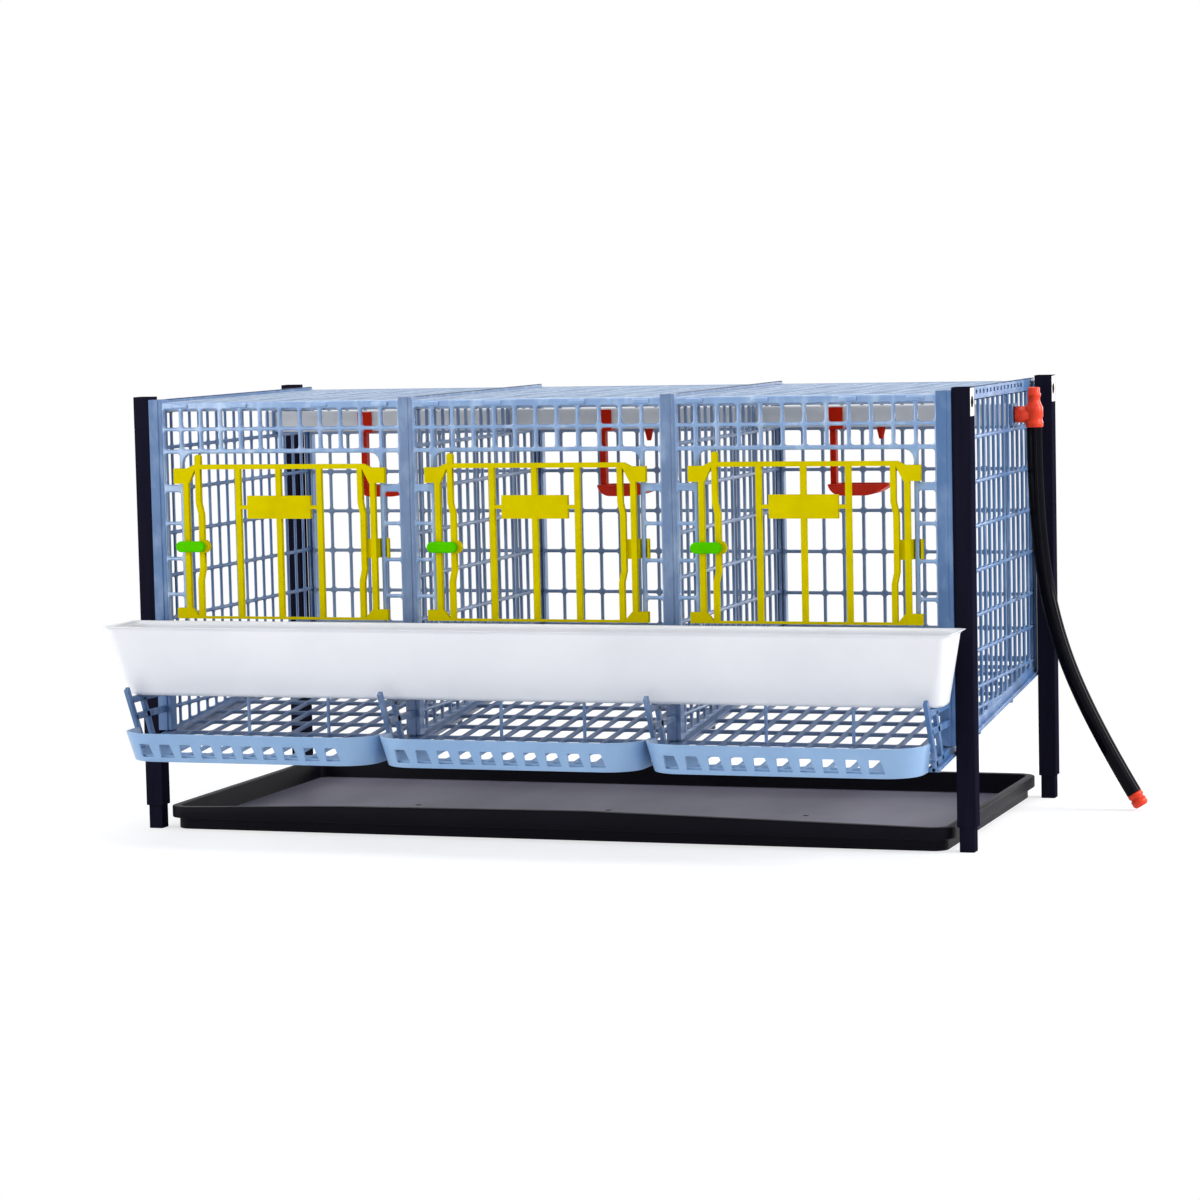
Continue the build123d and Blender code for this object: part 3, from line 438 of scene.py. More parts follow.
def join(shape, part, place=Matrix()):
    """Move a part into a shape."""
    part.transform(place)
    mesh = bpy.data.meshes.new("part")
    part.to_mesh(mesh)
    part.free()
    shape.from_mesh(mesh)
    bpy.data.meshes.remove(mesh)


def add_sheet(shape, outline, holes, thick, material, place, edge, steps=2, segments=3, lift=None):
    """Put a perforated sheet with rounded edges into a shape, lifted point by point if asked."""
    part = perforated(outline, holes, thick, material, segments)
    soften(part, edge, steps, clamp=False)
    if lift:
        for vert in part.verts:
            vert.co.z += lift(vert.co.x, vert.co.y)
    join(shape, part, place)


def add_rods(shape, lines, radius, material, sides=12):
    """Put round bars along pairs of points into a shape."""
    wire = bpy.data.meshes.new("lines")
    ends = [point for line in lines for point in line]
    wire.from_pydata(ends, [(2 * n, 2 * n + 1) for n in range(len(lines))], [])
    part = run_tree(ROD_TREE, wire, {"Radius": radius, "Sides": sides, "Material": material})
    for face in part.faces:
        face.smooth = len(face.verts) == 4
    join(shape, part)


def close_rings(part, rings):
    """Skin a row of equal rings with smooth faces, and close both ends."""
    part.faces.new(rings[0])
    part.faces.new(rings[-1])
    for low, high in zip(rings, rings[1:]):
        for n in range(len(low)):
            after = (n + 1) % len(low)
            part.faces.new((low[n], low[after], high[after], high[n])).smooth = True
    bmesh.ops.recalc_face_normals(part, faces=part.faces)


def add_prism(shape, outline, low, high, edge, place=Matrix(), steps=2):
    """Put an outline into a shape, solid between two levels, and stand it up as the sheets are."""
    part = bmesh.new()
    close_rings(part, [[part.verts.new((x, y, level)) for x, y in outline] for level in (low, high)])
    soften(part, edge, steps)
    join(shape, part, place)


def add_block(shape, x0, x1, y0, y1, z0, z1, edge):
    """Put a box between two corners into a shape."""
    add_prism(shape, rectangle(x0, x1, y0, y1), z0, z1, edge)


def strut(start, end, width):
    """Outline of a straight bar between two points."""
    start, end = Vector(start), Vector(end)
    side = (end - start).orthogonal().normalized() * width / 2
    return [start + side, end + side, end - side, start - side]


def add_turned(shape, profile, place, sides=28):
    """Put a turned form into a shape: radii and heights about an axis, closed at both ends."""
    part = bmesh.new()
    turns = [math.tau * n / sides for n in range(sides)]
    rings = [[part.verts.new((radius * math.cos(turn), radius * math.sin(turn), height)) for turn in turns]
             for radius, height in profile]
    close_rings(part, rings)
    join(shape, part, place)


def add_cad(shape, node, edge, steps=2, seam=None):
    """Put a copy of a CAD node into a shape: merged, its flat faces joined, its edges rounded."""
    part = bmesh.new()
    part.from_mesh(frame["nodes"][node].data)
    part.transform(Matrix.Translation((0, MIDDLE_DEPTH, 0)) @ Matrix.Scale(METRE, 4))
    bmesh.ops.remove_doubles(part, verts=part.verts, dist=MERGE)
    bmesh.ops.dissolve_limit(part, angle_limit=FLAT, verts=part.verts, edges=part.edges)
    soften(part, edge, steps, seam=seam)
    join(shape, part)


def piece(name, shape, material, nodes):
    """Place a finished shape in the shared frame and let it stand for its CAD nodes."""
    for vert in shape.verts:
        vert.co = to_frame(vert.co)
    mesh = bpy.data.meshes.new(name)
    shape.to_mesh(mesh)
    shape.free()
    mesh.materials.clear()
    mesh.materials.append(material)
    made = bpy.data.objects.new(name, mesh)
    scene.collection.objects.link(made)
    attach(made, frame["nodes"][nodes[0]]["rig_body"])
    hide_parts(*nodes)
    return made


# Camera at the photograph's place, with its angles in radians
SENSOR_WIDTH = 36.0
PHOTO_PIXELS, FOCAL_PIXELS = 1200, 3635.55
CAMERA_PLACE = (1672.06, -4599.96, 750.28)
CAMERA_YAW, CAMERA_PITCH, CAMERA_ROLL = 0.332026, 0.086492, -0.022287
camera_data = bpy.data.cameras.new("camera")
camera_data.sensor_width = SENSOR_WIDTH
camera_data.lens = SENSOR_WIDTH * FOCAL_PIXELS / PHOTO_PIXELS
camera_data.clip_start = 0.1
camera_data.clip_end = 100
camera = bpy.data.objects.new("camera", camera_data)
scene.collection.objects.link(camera)
turn = Matrix.Rotation(CAMERA_YAW, 4, "Z") @ Matrix.Rotation(math.pi / 2 - CAMERA_PITCH, 4, "X")
turn = turn @ Matrix.Rotation(CAMERA_ROLL, 4, "Z")
camera.matrix_world = Matrix.Translation(to_frame(CAMERA_PLACE)) @ turn
scene.camera = camera

# Hose, lying where the CAD hose lies
PIPE_DEPTH, PIPE_MIDDLE = 415.0, 556.0
FITTING_X, HOSE_TOP = 592.0, 538.0
HOSE_ROUTE = ((FITTING_X, HOSE_TOP), (FITTING_X, 426.0), (612.0, 268.0), (666.5, 128.0), (727.9, 24.7))
HOSE_RADIUS = 11.0
hose_curve = bpy.data.curves.new("hose_line", "CURVE")
hose_curve.dimensions = "3D"
hose_line = hose_curve.splines.new("NURBS")
hose_line.points.add(len(HOSE_ROUTE) - 1)
for point, (x, z) in zip(hose_line.points, HOSE_ROUTE):
    point.co = (*to_frame((x, PIPE_DEPTH, z)), 1.0)
hose_line.order_u = 3
hose_line.use_endpoint_u = True
hose_line.resolution_u = 24
hose_curve.bevel_depth = HOSE_RADIUS / METRE
hose_curve.bevel_resolution = 8
hose_curve.use_fill_caps = True
hose_curve.materials.append(hose_pvc)
hose = bpy.data.objects.new("water_hose", hose_curve)
scene.collection.objects.link(hose)
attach(hose, "cage")
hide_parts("hose")

# Fitting on the pipe's end, as radii along an axis: body with a ringed neck, and an arm towards the pipe
FITTING_BODY = ((11.4, HOSE_TOP), (12.6, 539.2), (12.6, 546.0), (11.6, 547.0), (11.6, 552.0), (12.6, 553.0),
                (12.6, 565.0), (11.8, 567.0), (8.6, 574.5), (8.4, 580.0), (9.6, 581.2), (9.6, 584.8),
                (8.4, 586.0), (8.4, 592.5), (7.4, 594.0))
FITTING_ARM = ((6.0, 545.0), (6.0, 565.4), (10.6, 565.8), (11.6, 567.2), (11.6, 588.0))
level_axis = Matrix.Translation((0, PIPE_DEPTH, PIPE_MIDDLE)) @ Matrix.Rotation(math.pi / 2, 4, "Y")
shape = bmesh.new()
add_turned(shape, FITTING_BODY, Matrix.Translation((FITTING_X, PIPE_DEPTH, 0)))
add_turned(shape, FITTING_ARM, level_axis)
hose_fitting = piece("hose_elbow", shape, orange_abs, ["hose_fitting"])

# Open cap on the free end, in line with the last run
CAP = ((10.2, 0.0), (11.2, 1.0), (11.2, 6.0), (9.6, 7.2), (9.6, 9.0), (11.2, 10.2), (11.2, 17.0),
       (10.0, 19.2), (8.4, 21.0), (6.0, 21.0), (6.0, 6.0))
(before_x, before_z), (end_x, end_z) = HOSE_ROUTE[-2:]
last_run = Vector((end_x - before_x, 0, end_z - before_z)).normalized()
end_turn = last_run.to_track_quat("Z", "Y").to_matrix().to_4x4()
shape = bmesh.new()
add_turned(shape, CAP, Matrix.Translation((end_x, PIPE_DEPTH, end_z)) @ end_turn)
hose_cap = piece("hose_end_cap", shape, orange_abs, ["hose_end_fitting"])

# Front panels: fine mesh above, rounded door opening between two ladders, sill mesh behind the trough
FRONT_FOOT = 206.0
FRONT_HALF = 180.0
UPPER_ROWS = ((534.5, 560.0), (565.0, 590.0))
SILL_ROW = (214.0, 279.5)
SILL_BARS = (-150.0, -50.0, 50.0, 150.0)
DOOR_OPENING = (-147.0, 147.0, 284.5, 528.5, 13.0)
LADDER_IN = 153.0
LADDER_COLUMNS = ((LADDER_IN, PANEL_EDGE), (-PANEL_EDGE, -LADDER_IN))
LADDER_ROWS = ((284.5, 329.5), (334.5, 379.5), (384.5, 429.0), (434.0, 474.9), (485.5, 528.5))
LUG_OFFSETS = (-150.0, -60.0, 60.0, 150.0)
LUG_HALF = 12.0
LUG_FRONT, LUG_BACK = -6.0, -2.0
LUG_LOW, LUG_HIGH = 591.5, 598.0
ROD_OFFSETS = (-60.0, 60.0)
ROD_DEPTH, ROD_RADIUS = 0.5, 2.4
ROD_LOW, ROD_HIGH = floor_at(3.0), FRONT_FOOT + 2


def front_holes():
    """Every hole of a front panel."""
    holes = mesh_holes(gaps_between(MESH_BARS, MESH_BAR, -PANEL_EDGE, PANEL_EDGE), UPPER_ROWS)
    holes += mesh_holes(gaps_between(SILL_BARS, MESH_BAR, -PANEL_EDGE, PANEL_EDGE), [SILL_ROW])
    holes.append(DOOR_OPENING)
    for row in LADDER_ROWS:
        holes += mesh_holes(LADDER_COLUMNS, [row])
    return holes


def make_front_panel(bay, middle):
    """One front: perforated sheet, lugs on its top band and two rods down to the floor."""
    shape = bmesh.new()
    outline = rectangle(-FRONT_HALF, FRONT_HALF, FRONT_FOOT, PANEL_TOP)
    place = Matrix.Translation((middle, FRONT_BACK, 0)) @ FACE_ON
    add_sheet(shape, outline, front_holes(), FRONT_BACK - FRONT_FACE, blue_pp, place, edge=2.1, steps=3)
    for lug in (middle + offset for offset in LUG_OFFSETS):
        add_block(shape, lug - LUG_HALF, lug + LUG_HALF, LUG_FRONT, LUG_BACK, LUG_LOW, LUG_HIGH, edge=1.8)
    rods = [middle + offset for offset in ROD_OFFSETS]
    add_rods(shape, [((x, ROD_DEPTH, ROD_LOW), (x, ROD_DEPTH, ROD_HIGH)) for x in rods], ROD_RADIUS, blue_pp)
    nodes = [f"front_{part}_{bay}" for part in ("mesh", "ladder_left", "ladder_right", "sill")]
    piece(f"front_frame_{bay}", shape, blue_pp, nodes)


# Rear panels
REAR_ROWS = (244.4, 293.5, 354.3, 414.5, 474.5, 534.5)
REAR_FOOT = 196.0
REAR_LOWEST, REAR_HIGHEST = REAR_FOOT + 8, PANEL_TOP - 10
REAR_THICK = 4.0
REAR_HALF, REAR_EDGE = 183.0, 179.3


def make_rear_panel(bay, middle):
    """One rear panel: a plain mesh sheet."""
    shape = bmesh.new()
    holes = mesh_holes(gaps_between(MESH_BARS, MESH_BAR, -REAR_EDGE, REAR_EDGE),
                       gaps_between(REAR_ROWS, MESH_BAR, REAR_LOWEST, REAR_HIGHEST))
    outline = rectangle(-REAR_HALF, REAR_HALF, REAR_FOOT, PANEL_TOP)
    place = Matrix.Translation((middle, REAR_FLANGE + REAR_THICK, 0)) @ FACE_ON
    add_sheet(shape, outline, holes, REAR_THICK, rear_shaded_blue_pp, place, edge=1.5)
    piece(f"rear_grille_{bay}", shape, rear_shaded_blue_pp, [f"rear_panel_{bay}"])


# Top panels
TOP_FRONT, TOP_REAR = 4.2, 519.8
TOP_THICK = 3.6
TOP_EDGE = 172.0
TOP_FIRST_BAR, TOP_ROWS = TOP_FRONT + 8, 17
RIB_THICK, RIB_LOW, RIB_HIGH = 4.0, PANEL_TOP - 13, PANEL_TOP - 1
RIPPLE_DEPTH, RIPPLE_ACROSS, RIPPLE_ALONG = 0.6, 13.0, 37.0


def top_ripple(x, y):
    """Slight sag of the top mesh, wave by wave."""
    return -RIPPLE_DEPTH * (1 + math.sin(x / RIPPLE_ACROSS + math.sin(y / RIPPLE_ALONG)))


def make_top_panel(bay, middle):
    """One top panel: thin rippled mesh with a rib under its front edge."""
    shape = bmesh.new()
    bars = [TOP_FIRST_BAR + MESH_PITCH * n for n in range(TOP_ROWS)]
    rows = gaps_between(bars, MESH_BAR, TOP_FRONT, TOP_REAR)[1:-1]
    holes = mesh_holes(gaps_between(MESH_BARS, MESH_BAR, -TOP_EDGE, TOP_EDGE), rows)
    outline = rectangle(-PANEL_HALF, PANEL_HALF, TOP_FRONT, TOP_REAR)
    place = Matrix.Translation((middle, 0, PANEL_TOP - TOP_THICK))
    add_sheet(shape, outline, holes, TOP_THICK, top_blue_pp, place, edge=1.2, segments=2, lift=top_ripple)
    add_block(shape, middle - PANEL_HALF, middle + PANEL_HALF, TOP_FRONT, TOP_FRONT + RIB_THICK,
              RIB_LOW, RIB_HIGH, edge=0.8)
    piece(f"top_grille_{bay}", shape, top_blue_pp, [f"top_panel_{bay}"])


# Side walls: mesh web with level bars standing proud, top rail, pipe plate, flanges, slope rail and guard
SIDE_ROWS = (171.0, 199.0, 248.0, 296.0, 356.0, 416.0, 476.0, 536.0)
BAR_HALF = 3.0
WEB_THIN, WEB_THICK = 3.2, 4.2
HOLE_RISE = 1.0
FLANGE_FRONT, FLANGE_BACK, FLANGE_HALF = -4.0, 14.0, 10.0
FLANGE_STEP, GROOVE_DEPTH = -3.6, -2.8
FLANGE_SECTION = ((-FLANGE_HALF, FLANGE_FRONT), (3.6, FLANGE_FRONT), (4.2, GROOVE_DEPTH), (5.4, GROOVE_DEPTH),
                  (6.0, FLANGE_STEP), (FLANGE_HALF, FLANGE_STEP), (FLANGE_HALF, FLANGE_BACK),
                  (-FLANGE_HALF, FLANGE_BACK))
FOOT_GAP = 0.2
REAR_RIB, REAR_FACE, REAR_RIB_HALF = 524.0, 540.0, 6.0
FIRST_COLUMN, SIDE_COLUMNS = 46.5, 16
RAIL_SKIN, RAIL_ROUND = 1.4, 0.4
RAIL_FRONT, RAIL_REAR = FLANGE_FRONT + RAIL_SKIN, REAR_FACE - 1
RAIL_SLOT = (593.6, 599.0)
RAIL_SLOT_CORNER = 0.8
RAIL_SLOT_FIRST, RAIL_SLOT_WIDE, RAIL_SLOT_PITCH, RAIL_SLOTS = 20.0, 10.0, 21.5, 21
PIPE_HOLE, FITTING_HOLE, PIPE_COLLAR, BORE_CORNER = 15.2, 10.7, 5.0, 1.0
SLOPE_RAIL = 14.0
LEDGE_HALF, LEDGE_TOP = 8.0, 5.8
RAIL_REACH = -82.0
GUARD_BAR = 9.0
GUARD_STRUTS = (((-70.0, 120.0), (-120.5, 212.0)), ((-39.5, 128.0), (-72.0, 195.5)),
                ((-98.0, 171.0), (FLANGE_BACK, 171.0)), ((-108.0, 195.3), (FLANGE_BACK, 195.3)))
PEG_DEPTHS = (172.0, 371.0)
PEG_LENGTH, PEG_RADIUS, PEG_CHAMFER, PEG_SINK = 8.0, 4.0, 1.0, 0.4


def upright(x):
    """Place that stands an outline up from front to rear, at a distance from the middle."""
    return Matrix.Translation((x, 0, 0)) @ SIDE_ON


def slope_outline(start, end, low, high):
    """Outline of a rail along the floor's slope, between two heights above the floor's upper face."""
    return [(start, floor_at(start) + low), (end, floor_at(end) + low),
            (end, floor_at(end) + high), (start, floor_at(start) + high)]


def square(half):
    """Left, right, low and high of a square about the water pipe."""
    return PIPE_DEPTH - half, PIPE_DEPTH + half, PIPE_MIDDLE - half, PIPE_MIDDLE + half


def add_web(shape, line, web, material):
    """The thin mesh of a side wall, open down to the floor, and its level bars."""
    bars = [FIRST_COLUMN + MESH_PITCH * step for step in range(SIDE_COLUMNS)]
    holes = []
    for near, far in gaps_between(bars, MESH_BAR, FLANGE_BACK, REAR_FLANGE):
        for below, above in gaps_between(SIDE_ROWS, MESH_BAR, 0.0, RAIL_LOW):
            foot = max(below, floor_at(far) + HOLE_RISE)
            if above - foot > MESH_BAR:
                holes.append((near, far, foot, above, HOLE_CORNER))
    outline = slope_outline(0.0, REAR_RIB, -SLOPE_RAIL, 0.0)[:2]
    outline += [(REAR_RIB, RAIL_LOW + RAIL_SKIN), (0.0, RAIL_LOW + RAIL_SKIN)]
    add_sheet(shape, outline, holes, web, material, upright(line - web / 2), edge=1.0)
    for row in SIDE_ROWS:
        meets_floor = (row - FLOOR_HEIGHT) / FLOOR_SLOPE
        level = rectangle(FLANGE_BACK, min(REAR_RIB, meets_floor), row - MESH_BAR / 2, row + MESH_BAR / 2)
        add_prism(shape, level, -BAR_HALF, BAR_HALF, edge=1.8, place=upright(line))


def add_top_rail(shape, line, material):
    """The hollow top rail of a side wall, with a row of slots in its outer skin."""
    starts = [RAIL_SLOT_FIRST + RAIL_SLOT_PITCH * n for n in range(RAIL_SLOTS)]
    slots = [(start, start + RAIL_SLOT_WIDE, *RAIL_SLOT, RAIL_SLOT_CORNER) for start in starts]
    whole = rectangle(RAIL_FRONT, RAIL_REAR, RAIL_LOW, CAGE_TOP)
    half_skin = RAIL_SKIN / 2
    outer = math.copysign(BAR_HALF - half_skin, line)
    add_sheet(shape, whole, slots, RAIL_SKIN, material, upright(line + outer - half_skin), edge=RAIL_ROUND)
    add_prism(shape, whole, -outer - half_skin, -outer + half_skin, RAIL_ROUND, upright(line))
    walls = [rectangle(RAIL_FRONT, RAIL_REAR, low, low + RAIL_SKIN)
             for low in (RAIL_LOW, CAGE_TOP - RAIL_SKIN)]
    walls += [rectangle(start, start + RAIL_SKIN, RAIL_LOW, CAGE_TOP)
              for start in (RAIL_FRONT, RAIL_REAR - RAIL_SKIN)]
    for wall in walls:
        add_prism(shape, wall, -BAR_HALF, BAR_HALF, RAIL_ROUND, upright(line))


def add_flanges(shape, line):
    """The grooved front flange of a side wall, and its narrow rear rib."""
    section = [(line + x, y) for x, y in FLANGE_SECTION]
    add_prism(shape, section, floor_at(FLANGE_BACK) + FOOT_GAP, CAGE_TOP, edge=0.5)
    add_block(shape, line - REAR_RIB_HALF, line + REAR_RIB_HALF, REAR_RIB, REAR_FACE,
              floor_at(REAR_FACE) - SLOPE_RAIL + FOOT_GAP, PANEL_TOP, edge=1.2)


def add_slope_rail(shape, line):
    """The slope rail of a side wall: its ledge under the floors' edges, guard struts and pegs."""
    for top, half in ((0.0, BAR_HALF), (LEDGE_TOP - SLOPE_RAIL, LEDGE_HALF)):
        along = slope_outline(RAIL_REACH, REAR_FACE, -SLOPE_RAIL, top)
        add_prism(shape, along, -half, half, edge=1.0, place=upright(line))
    for start, end in GUARD_STRUTS:
        add_prism(shape, strut(start, end, GUARD_BAR), -BAR_HALF, BAR_HALF, edge=0.8, place=upright(line))
    for depth in PEG_DEPTHS:
        top = floor_at(depth) - SLOPE_RAIL + PEG_SINK
        tip = top - PEG_LENGTH
        peg = ((PEG_RADIUS - PEG_CHAMFER, tip), (PEG_RADIUS, tip + PEG_CHAMFER), (PEG_RADIUS, top))
        add_turned(shape, peg, Matrix.Translation((line, depth, 0)), sides=16)


def make_side_wall(node, line, material, web, pipe_hole):
    """One upright wall from front to rear, with its web's thickness and half the hole for the pipe."""
    shape = bmesh.new()
    add_web(shape, line, web, material)
    add_top_rail(shape, line, material)
    plate = rectangle(*square(pipe_hole + PIPE_COLLAR))
    bore = (*square(pipe_hole), BORE_CORNER)
    add_sheet(shape, plate, [bore], web, material, upright(line - web / 2), edge=0.8)
    add_flanges(shape, line)
    add_slope_rail(shape, line)
    piece(f"{node}_mesh", shape, material, [node])


# Floors: sloping grid, and a leaning lip with rounded corners and a row of holes
LIP_HALF = 180.0
LIP_FLARE = 7.2
LIP_CORNER = 45.0
LIP_WALL = 3.5
LIP_FRONT = -150.0
LIP_LEAN = 13.0
LIP_FOOT, LIP_TOP = 116.0, 156.0
LIP_RETURN = 70.0
LIP_STRAIGHT = LIP_HALF - LIP_CORNER
LIP_BEND = LIP_CORNER * math.pi / 2
LIP_REACH = LIP_STRAIGHT + LIP_BEND + LIP_RETURN - LIP_CORNER
LIP_HOLE_LOW, LIP_HOLE_HIGH = 122.6, 140.8
LIP_HOLE_FIRST, LIP_HOLE_PITCH, LIP_HOLES = -153.6, 30.5, 10
LIP_HOLE_WIDTH, LIP_HOLE_TOP = 20.5, 15.0
LIP_BEND_STEP, LIP_BEND_STEPS, LIP_STOP_GAP = 5.9, 13, 2.0
FLOOR_HALF = 184.3
FLOOR_EDGE = 172.0
FLOOR_BAR = 6.0
FLOOR_GRID_THICK = 5.0
FLOOR_CROSS_FIRST, FLOOR_CROSS_PITCH, FLOOR_CROSSES = -127.0, 66.5, 10
FLOOR_FIRST, FLOOR_LAST = LIP_FRONT + 10, REAR_FLANGE - 6
FLOOR_SHOULDER = LIP_FRONT + LIP_RETURN + 2
FLOOR_GAP, FLOOR_LINE_STEPS = 0.4, 20


def lip_point(along, height, inset):
    """A point of the lip: along its run from the middle of the front, at a height, in from its outer face."""
    radius = LIP_CORNER - inset
    side = math.copysign(1, along)
    reach = abs(along)
    if reach <= LIP_STRAIGHT:
        x, y = reach, inset
    elif reach <= LIP_STRAIGHT + LIP_BEND:
        angle = (reach - LIP_STRAIGHT) / LIP_CORNER
        x, y = LIP_STRAIGHT + radius * math.sin(angle), LIP_CORNER - radius * math.cos(angle)
    else:
        x, y = LIP_HALF - inset, LIP_CORNER + reach - LIP_STRAIGHT - LIP_BEND
    rise = (height - LIP_FOOT) / (LIP_TOP - LIP_FOOT)
    x += LIP_FLARE * rise * min(1.0, max(0.0, (x - LIP_STRAIGHT) / LIP_CORNER))
    return side * x, LIP_FRONT + y - LIP_LEAN * rise, height


def make_floor(bay, middle):
    """One sloping floor: a grid that ends along the inside of its lip."""
    shape = bmesh.new()
    crosses = [FLOOR_CROSS_FIRST + FLOOR_CROSS_PITCH * n for n in range(FLOOR_CROSSES)]
    rows = gaps_between(crosses, FLOOR_BAR, FLOOR_FIRST, FLOOR_LAST)
    columns = gaps_between(MESH_BARS, FLOOR_BAR, -FLOOR_EDGE, FLOOR_EDGE)
    holes = []
    for left, right, low, high, corner in mesh_holes(columns, rows):
        if max(abs(left), abs(right)) < LIP_STRAIGHT or low > FLOOR_SHOULDER:
            holes.append((left, right, low, high, corner))
    runs = [LIP_REACH * (n / FLOOR_LINE_STEPS - 1) for n in range(2 * FLOOR_LINE_STEPS + 1)]
    outline = [lip_point(run, LIP_FOOT, LIP_WALL + FLOOR_GAP)[:2] for run in runs]
    outline += [(FLOOR_HALF, FLOOR_SHOULDER), (FLOOR_HALF, REAR_FLANGE), (-FLOOR_HALF, REAR_FLANGE),
                (-FLOOR_HALF, FLOOR_SHOULDER)]
    add_sheet(shape, outline, holes, FLOOR_GRID_THICK, floor_painted_light_blue_pp, Matrix.Translation((middle, 0, 0)),
              edge=1.2, segments=2, lift=lambda x, y: floor_at(y) - FLOOR_GRID_THICK)
    piece(f"floor_grid_{bay}", shape, floor_painted_light_blue_pp, [f"floor_{bay}"])


def make_lip(bay, middle):
    """One egg lip: two skins in a grid that leaves out the holes, closed along every open edge."""
    part = bmesh.new()
    lefts = [LIP_HOLE_FIRST + LIP_HOLE_PITCH * n for n in range(LIP_HOLES)]
    cuts = [left + step for left in lefts for step in (0.0, LIP_HOLE_TOP, LIP_HOLE_WIDTH)]
    bends = [side * (LIP_STRAIGHT + LIP_BEND_STEP * n) for side in (-1, 1) for n in range(LIP_BEND_STEPS)]
    clear = [bend for bend in bends if all(abs(bend - cut) > LIP_STOP_GAP for cut in cuts)]
    stops = sorted(cuts + clear + [-LIP_REACH, LIP_REACH])
    levels = [LIP_FOOT, LIP_HOLE_LOW, LIP_HOLE_HIGH, LIP_TOP]
    grid = {(stop, level, inset): part.verts.new(lip_point(stop, level, inset))
            for inset in (0.0, LIP_WALL) for stop in stops for level in levels}
    for start, end in zip(stops, stops[1:]):
        inside = [left for left in lefts if left <= start < left + LIP_HOLE_WIDTH]
        for low, high in zip(levels, levels[1:]):
            cell = rectangle(start, end, low, high)
            if inside and low == LIP_HOLE_LOW:
                if start < inside[0] + LIP_HOLE_TOP:
                    continue
                cell = cell[1:]
            part.faces.new([grid[stop, level, 0.0] for stop, level in cell])
            part.faces.new([grid[stop, level, LIP_WALL] for stop, level in cell[::-1]])
    across = {grid[stop, level, 0.0]: grid[stop, level, LIP_WALL] for stop in stops for level in levels}
    rims = [side for side in part.edges if side.is_boundary and all(vert in across for vert in side.verts)]
    for side in rims:
        first, last = side.verts
        part.faces.new((last, first, across[first], across[last]))
    bmesh.ops.delete(part, geom=[vert for vert in part.verts if not vert.link_faces], context="VERTS")
    bmesh.ops.recalc_face_normals(part, faces=part.faces)
    soften(part, edge=0.9)
    part.transform(Matrix.Translation((middle, 0, 0)))
    piece(f"egg_stop_{bay}", part, pale_blue_pp, [f"egg_lip_{bay}"])


for bay, middle in BAY_MIDDLES.items():
    make_front_panel(bay, middle)
    make_rear_panel(bay, middle)
    make_top_panel(bay, middle)
    make_floor(bay, middle)
    make_lip(bay, middle)
for node, line in SIDE_LINES.items():
    material = wall_shaded_blue_pp if node.startswith("side") else inner_shaded_blue_pp
    web = WEB_THIN if node == "side_panel_left" else WEB_THICK
    pipe_hole = FITTING_HOLE if node == "side_panel_right" else PIPE_HOLE
    make_side_wall(node, line, material, web, pipe_hole)

# Latches: rounded levers on a shaft through the door's boss
LATCH_OFFSET, LATCH_HEIGHT = -116.0, 400.0
LATCH_LEFT, LATCH_RIGHT, LATCH_HALF = -39.0, 4.5, 7.6
LATCH_FRONT, LATCH_BACK = -20.5, -13.3
LATCH_STEPS = 8
SHAFT_RADIUS, SHAFT_END, SHAFT_SINK = 4.0, -5.7, 1.0
COLLAR_RADIUS, COLLAR_END = 5.8, -4.2


def make_latch(bay, middle):
    """One green latch: a lever with round ends, and its shaft with a collar behind the boss."""
    shape = bmesh.new()
    outline = []
    for centre, start in ((LATCH_RIGHT - LATCH_HALF, -90), (LATCH_LEFT + LATCH_HALF, 90)):
        for step in range(LATCH_STEPS + 1):
            angle = math.radians(start + 180 * step / LATCH_STEPS)
            outline.append((centre + LATCH_HALF * math.cos(angle), LATCH_HALF * math.sin(angle)))
    place = Matrix.Translation((middle + LATCH_OFFSET, 0, LATCH_HEIGHT)) @ FACE_ON
    add_prism(shape, outline, -LATCH_BACK, -LATCH_FRONT, edge=2.2, place=place, steps=4)
    shaft = ((SHAFT_RADIUS, -LATCH_BACK + SHAFT_SINK), (SHAFT_RADIUS, -SHAFT_END),
             (COLLAR_RADIUS, -SHAFT_END), (COLLAR_RADIUS, -COLLAR_END))
    add_turned(shape, shaft, place)
    piece(f"green_latch_{bay}", shape, green_pp, [f"latch_{bay}"])


# Feed trough: thin shell with leaning walls that curl over into the rim, sized at foot, shoulder and rim
TROUGH_LOW, TROUGH_SHOULDER, TROUGH_TOP = 200.0, 291.0, 297.5
TROUGH_HALVES = (577.0, 590.0, 596.0)
TROUGH_FRONTS = (-95.0, -123.0, -127.0)
TROUGH_REARS = (-34.0, -28.5, -24.5)
TROUGH_CORNERS = (22.0, 14.0, 10.0)
TROUGH_WALL = 3.0
TROUGH_ROUND = 6.0
CORNER_STEPS, CURL_STEPS, FOOT_STEPS = 6, 6, 4


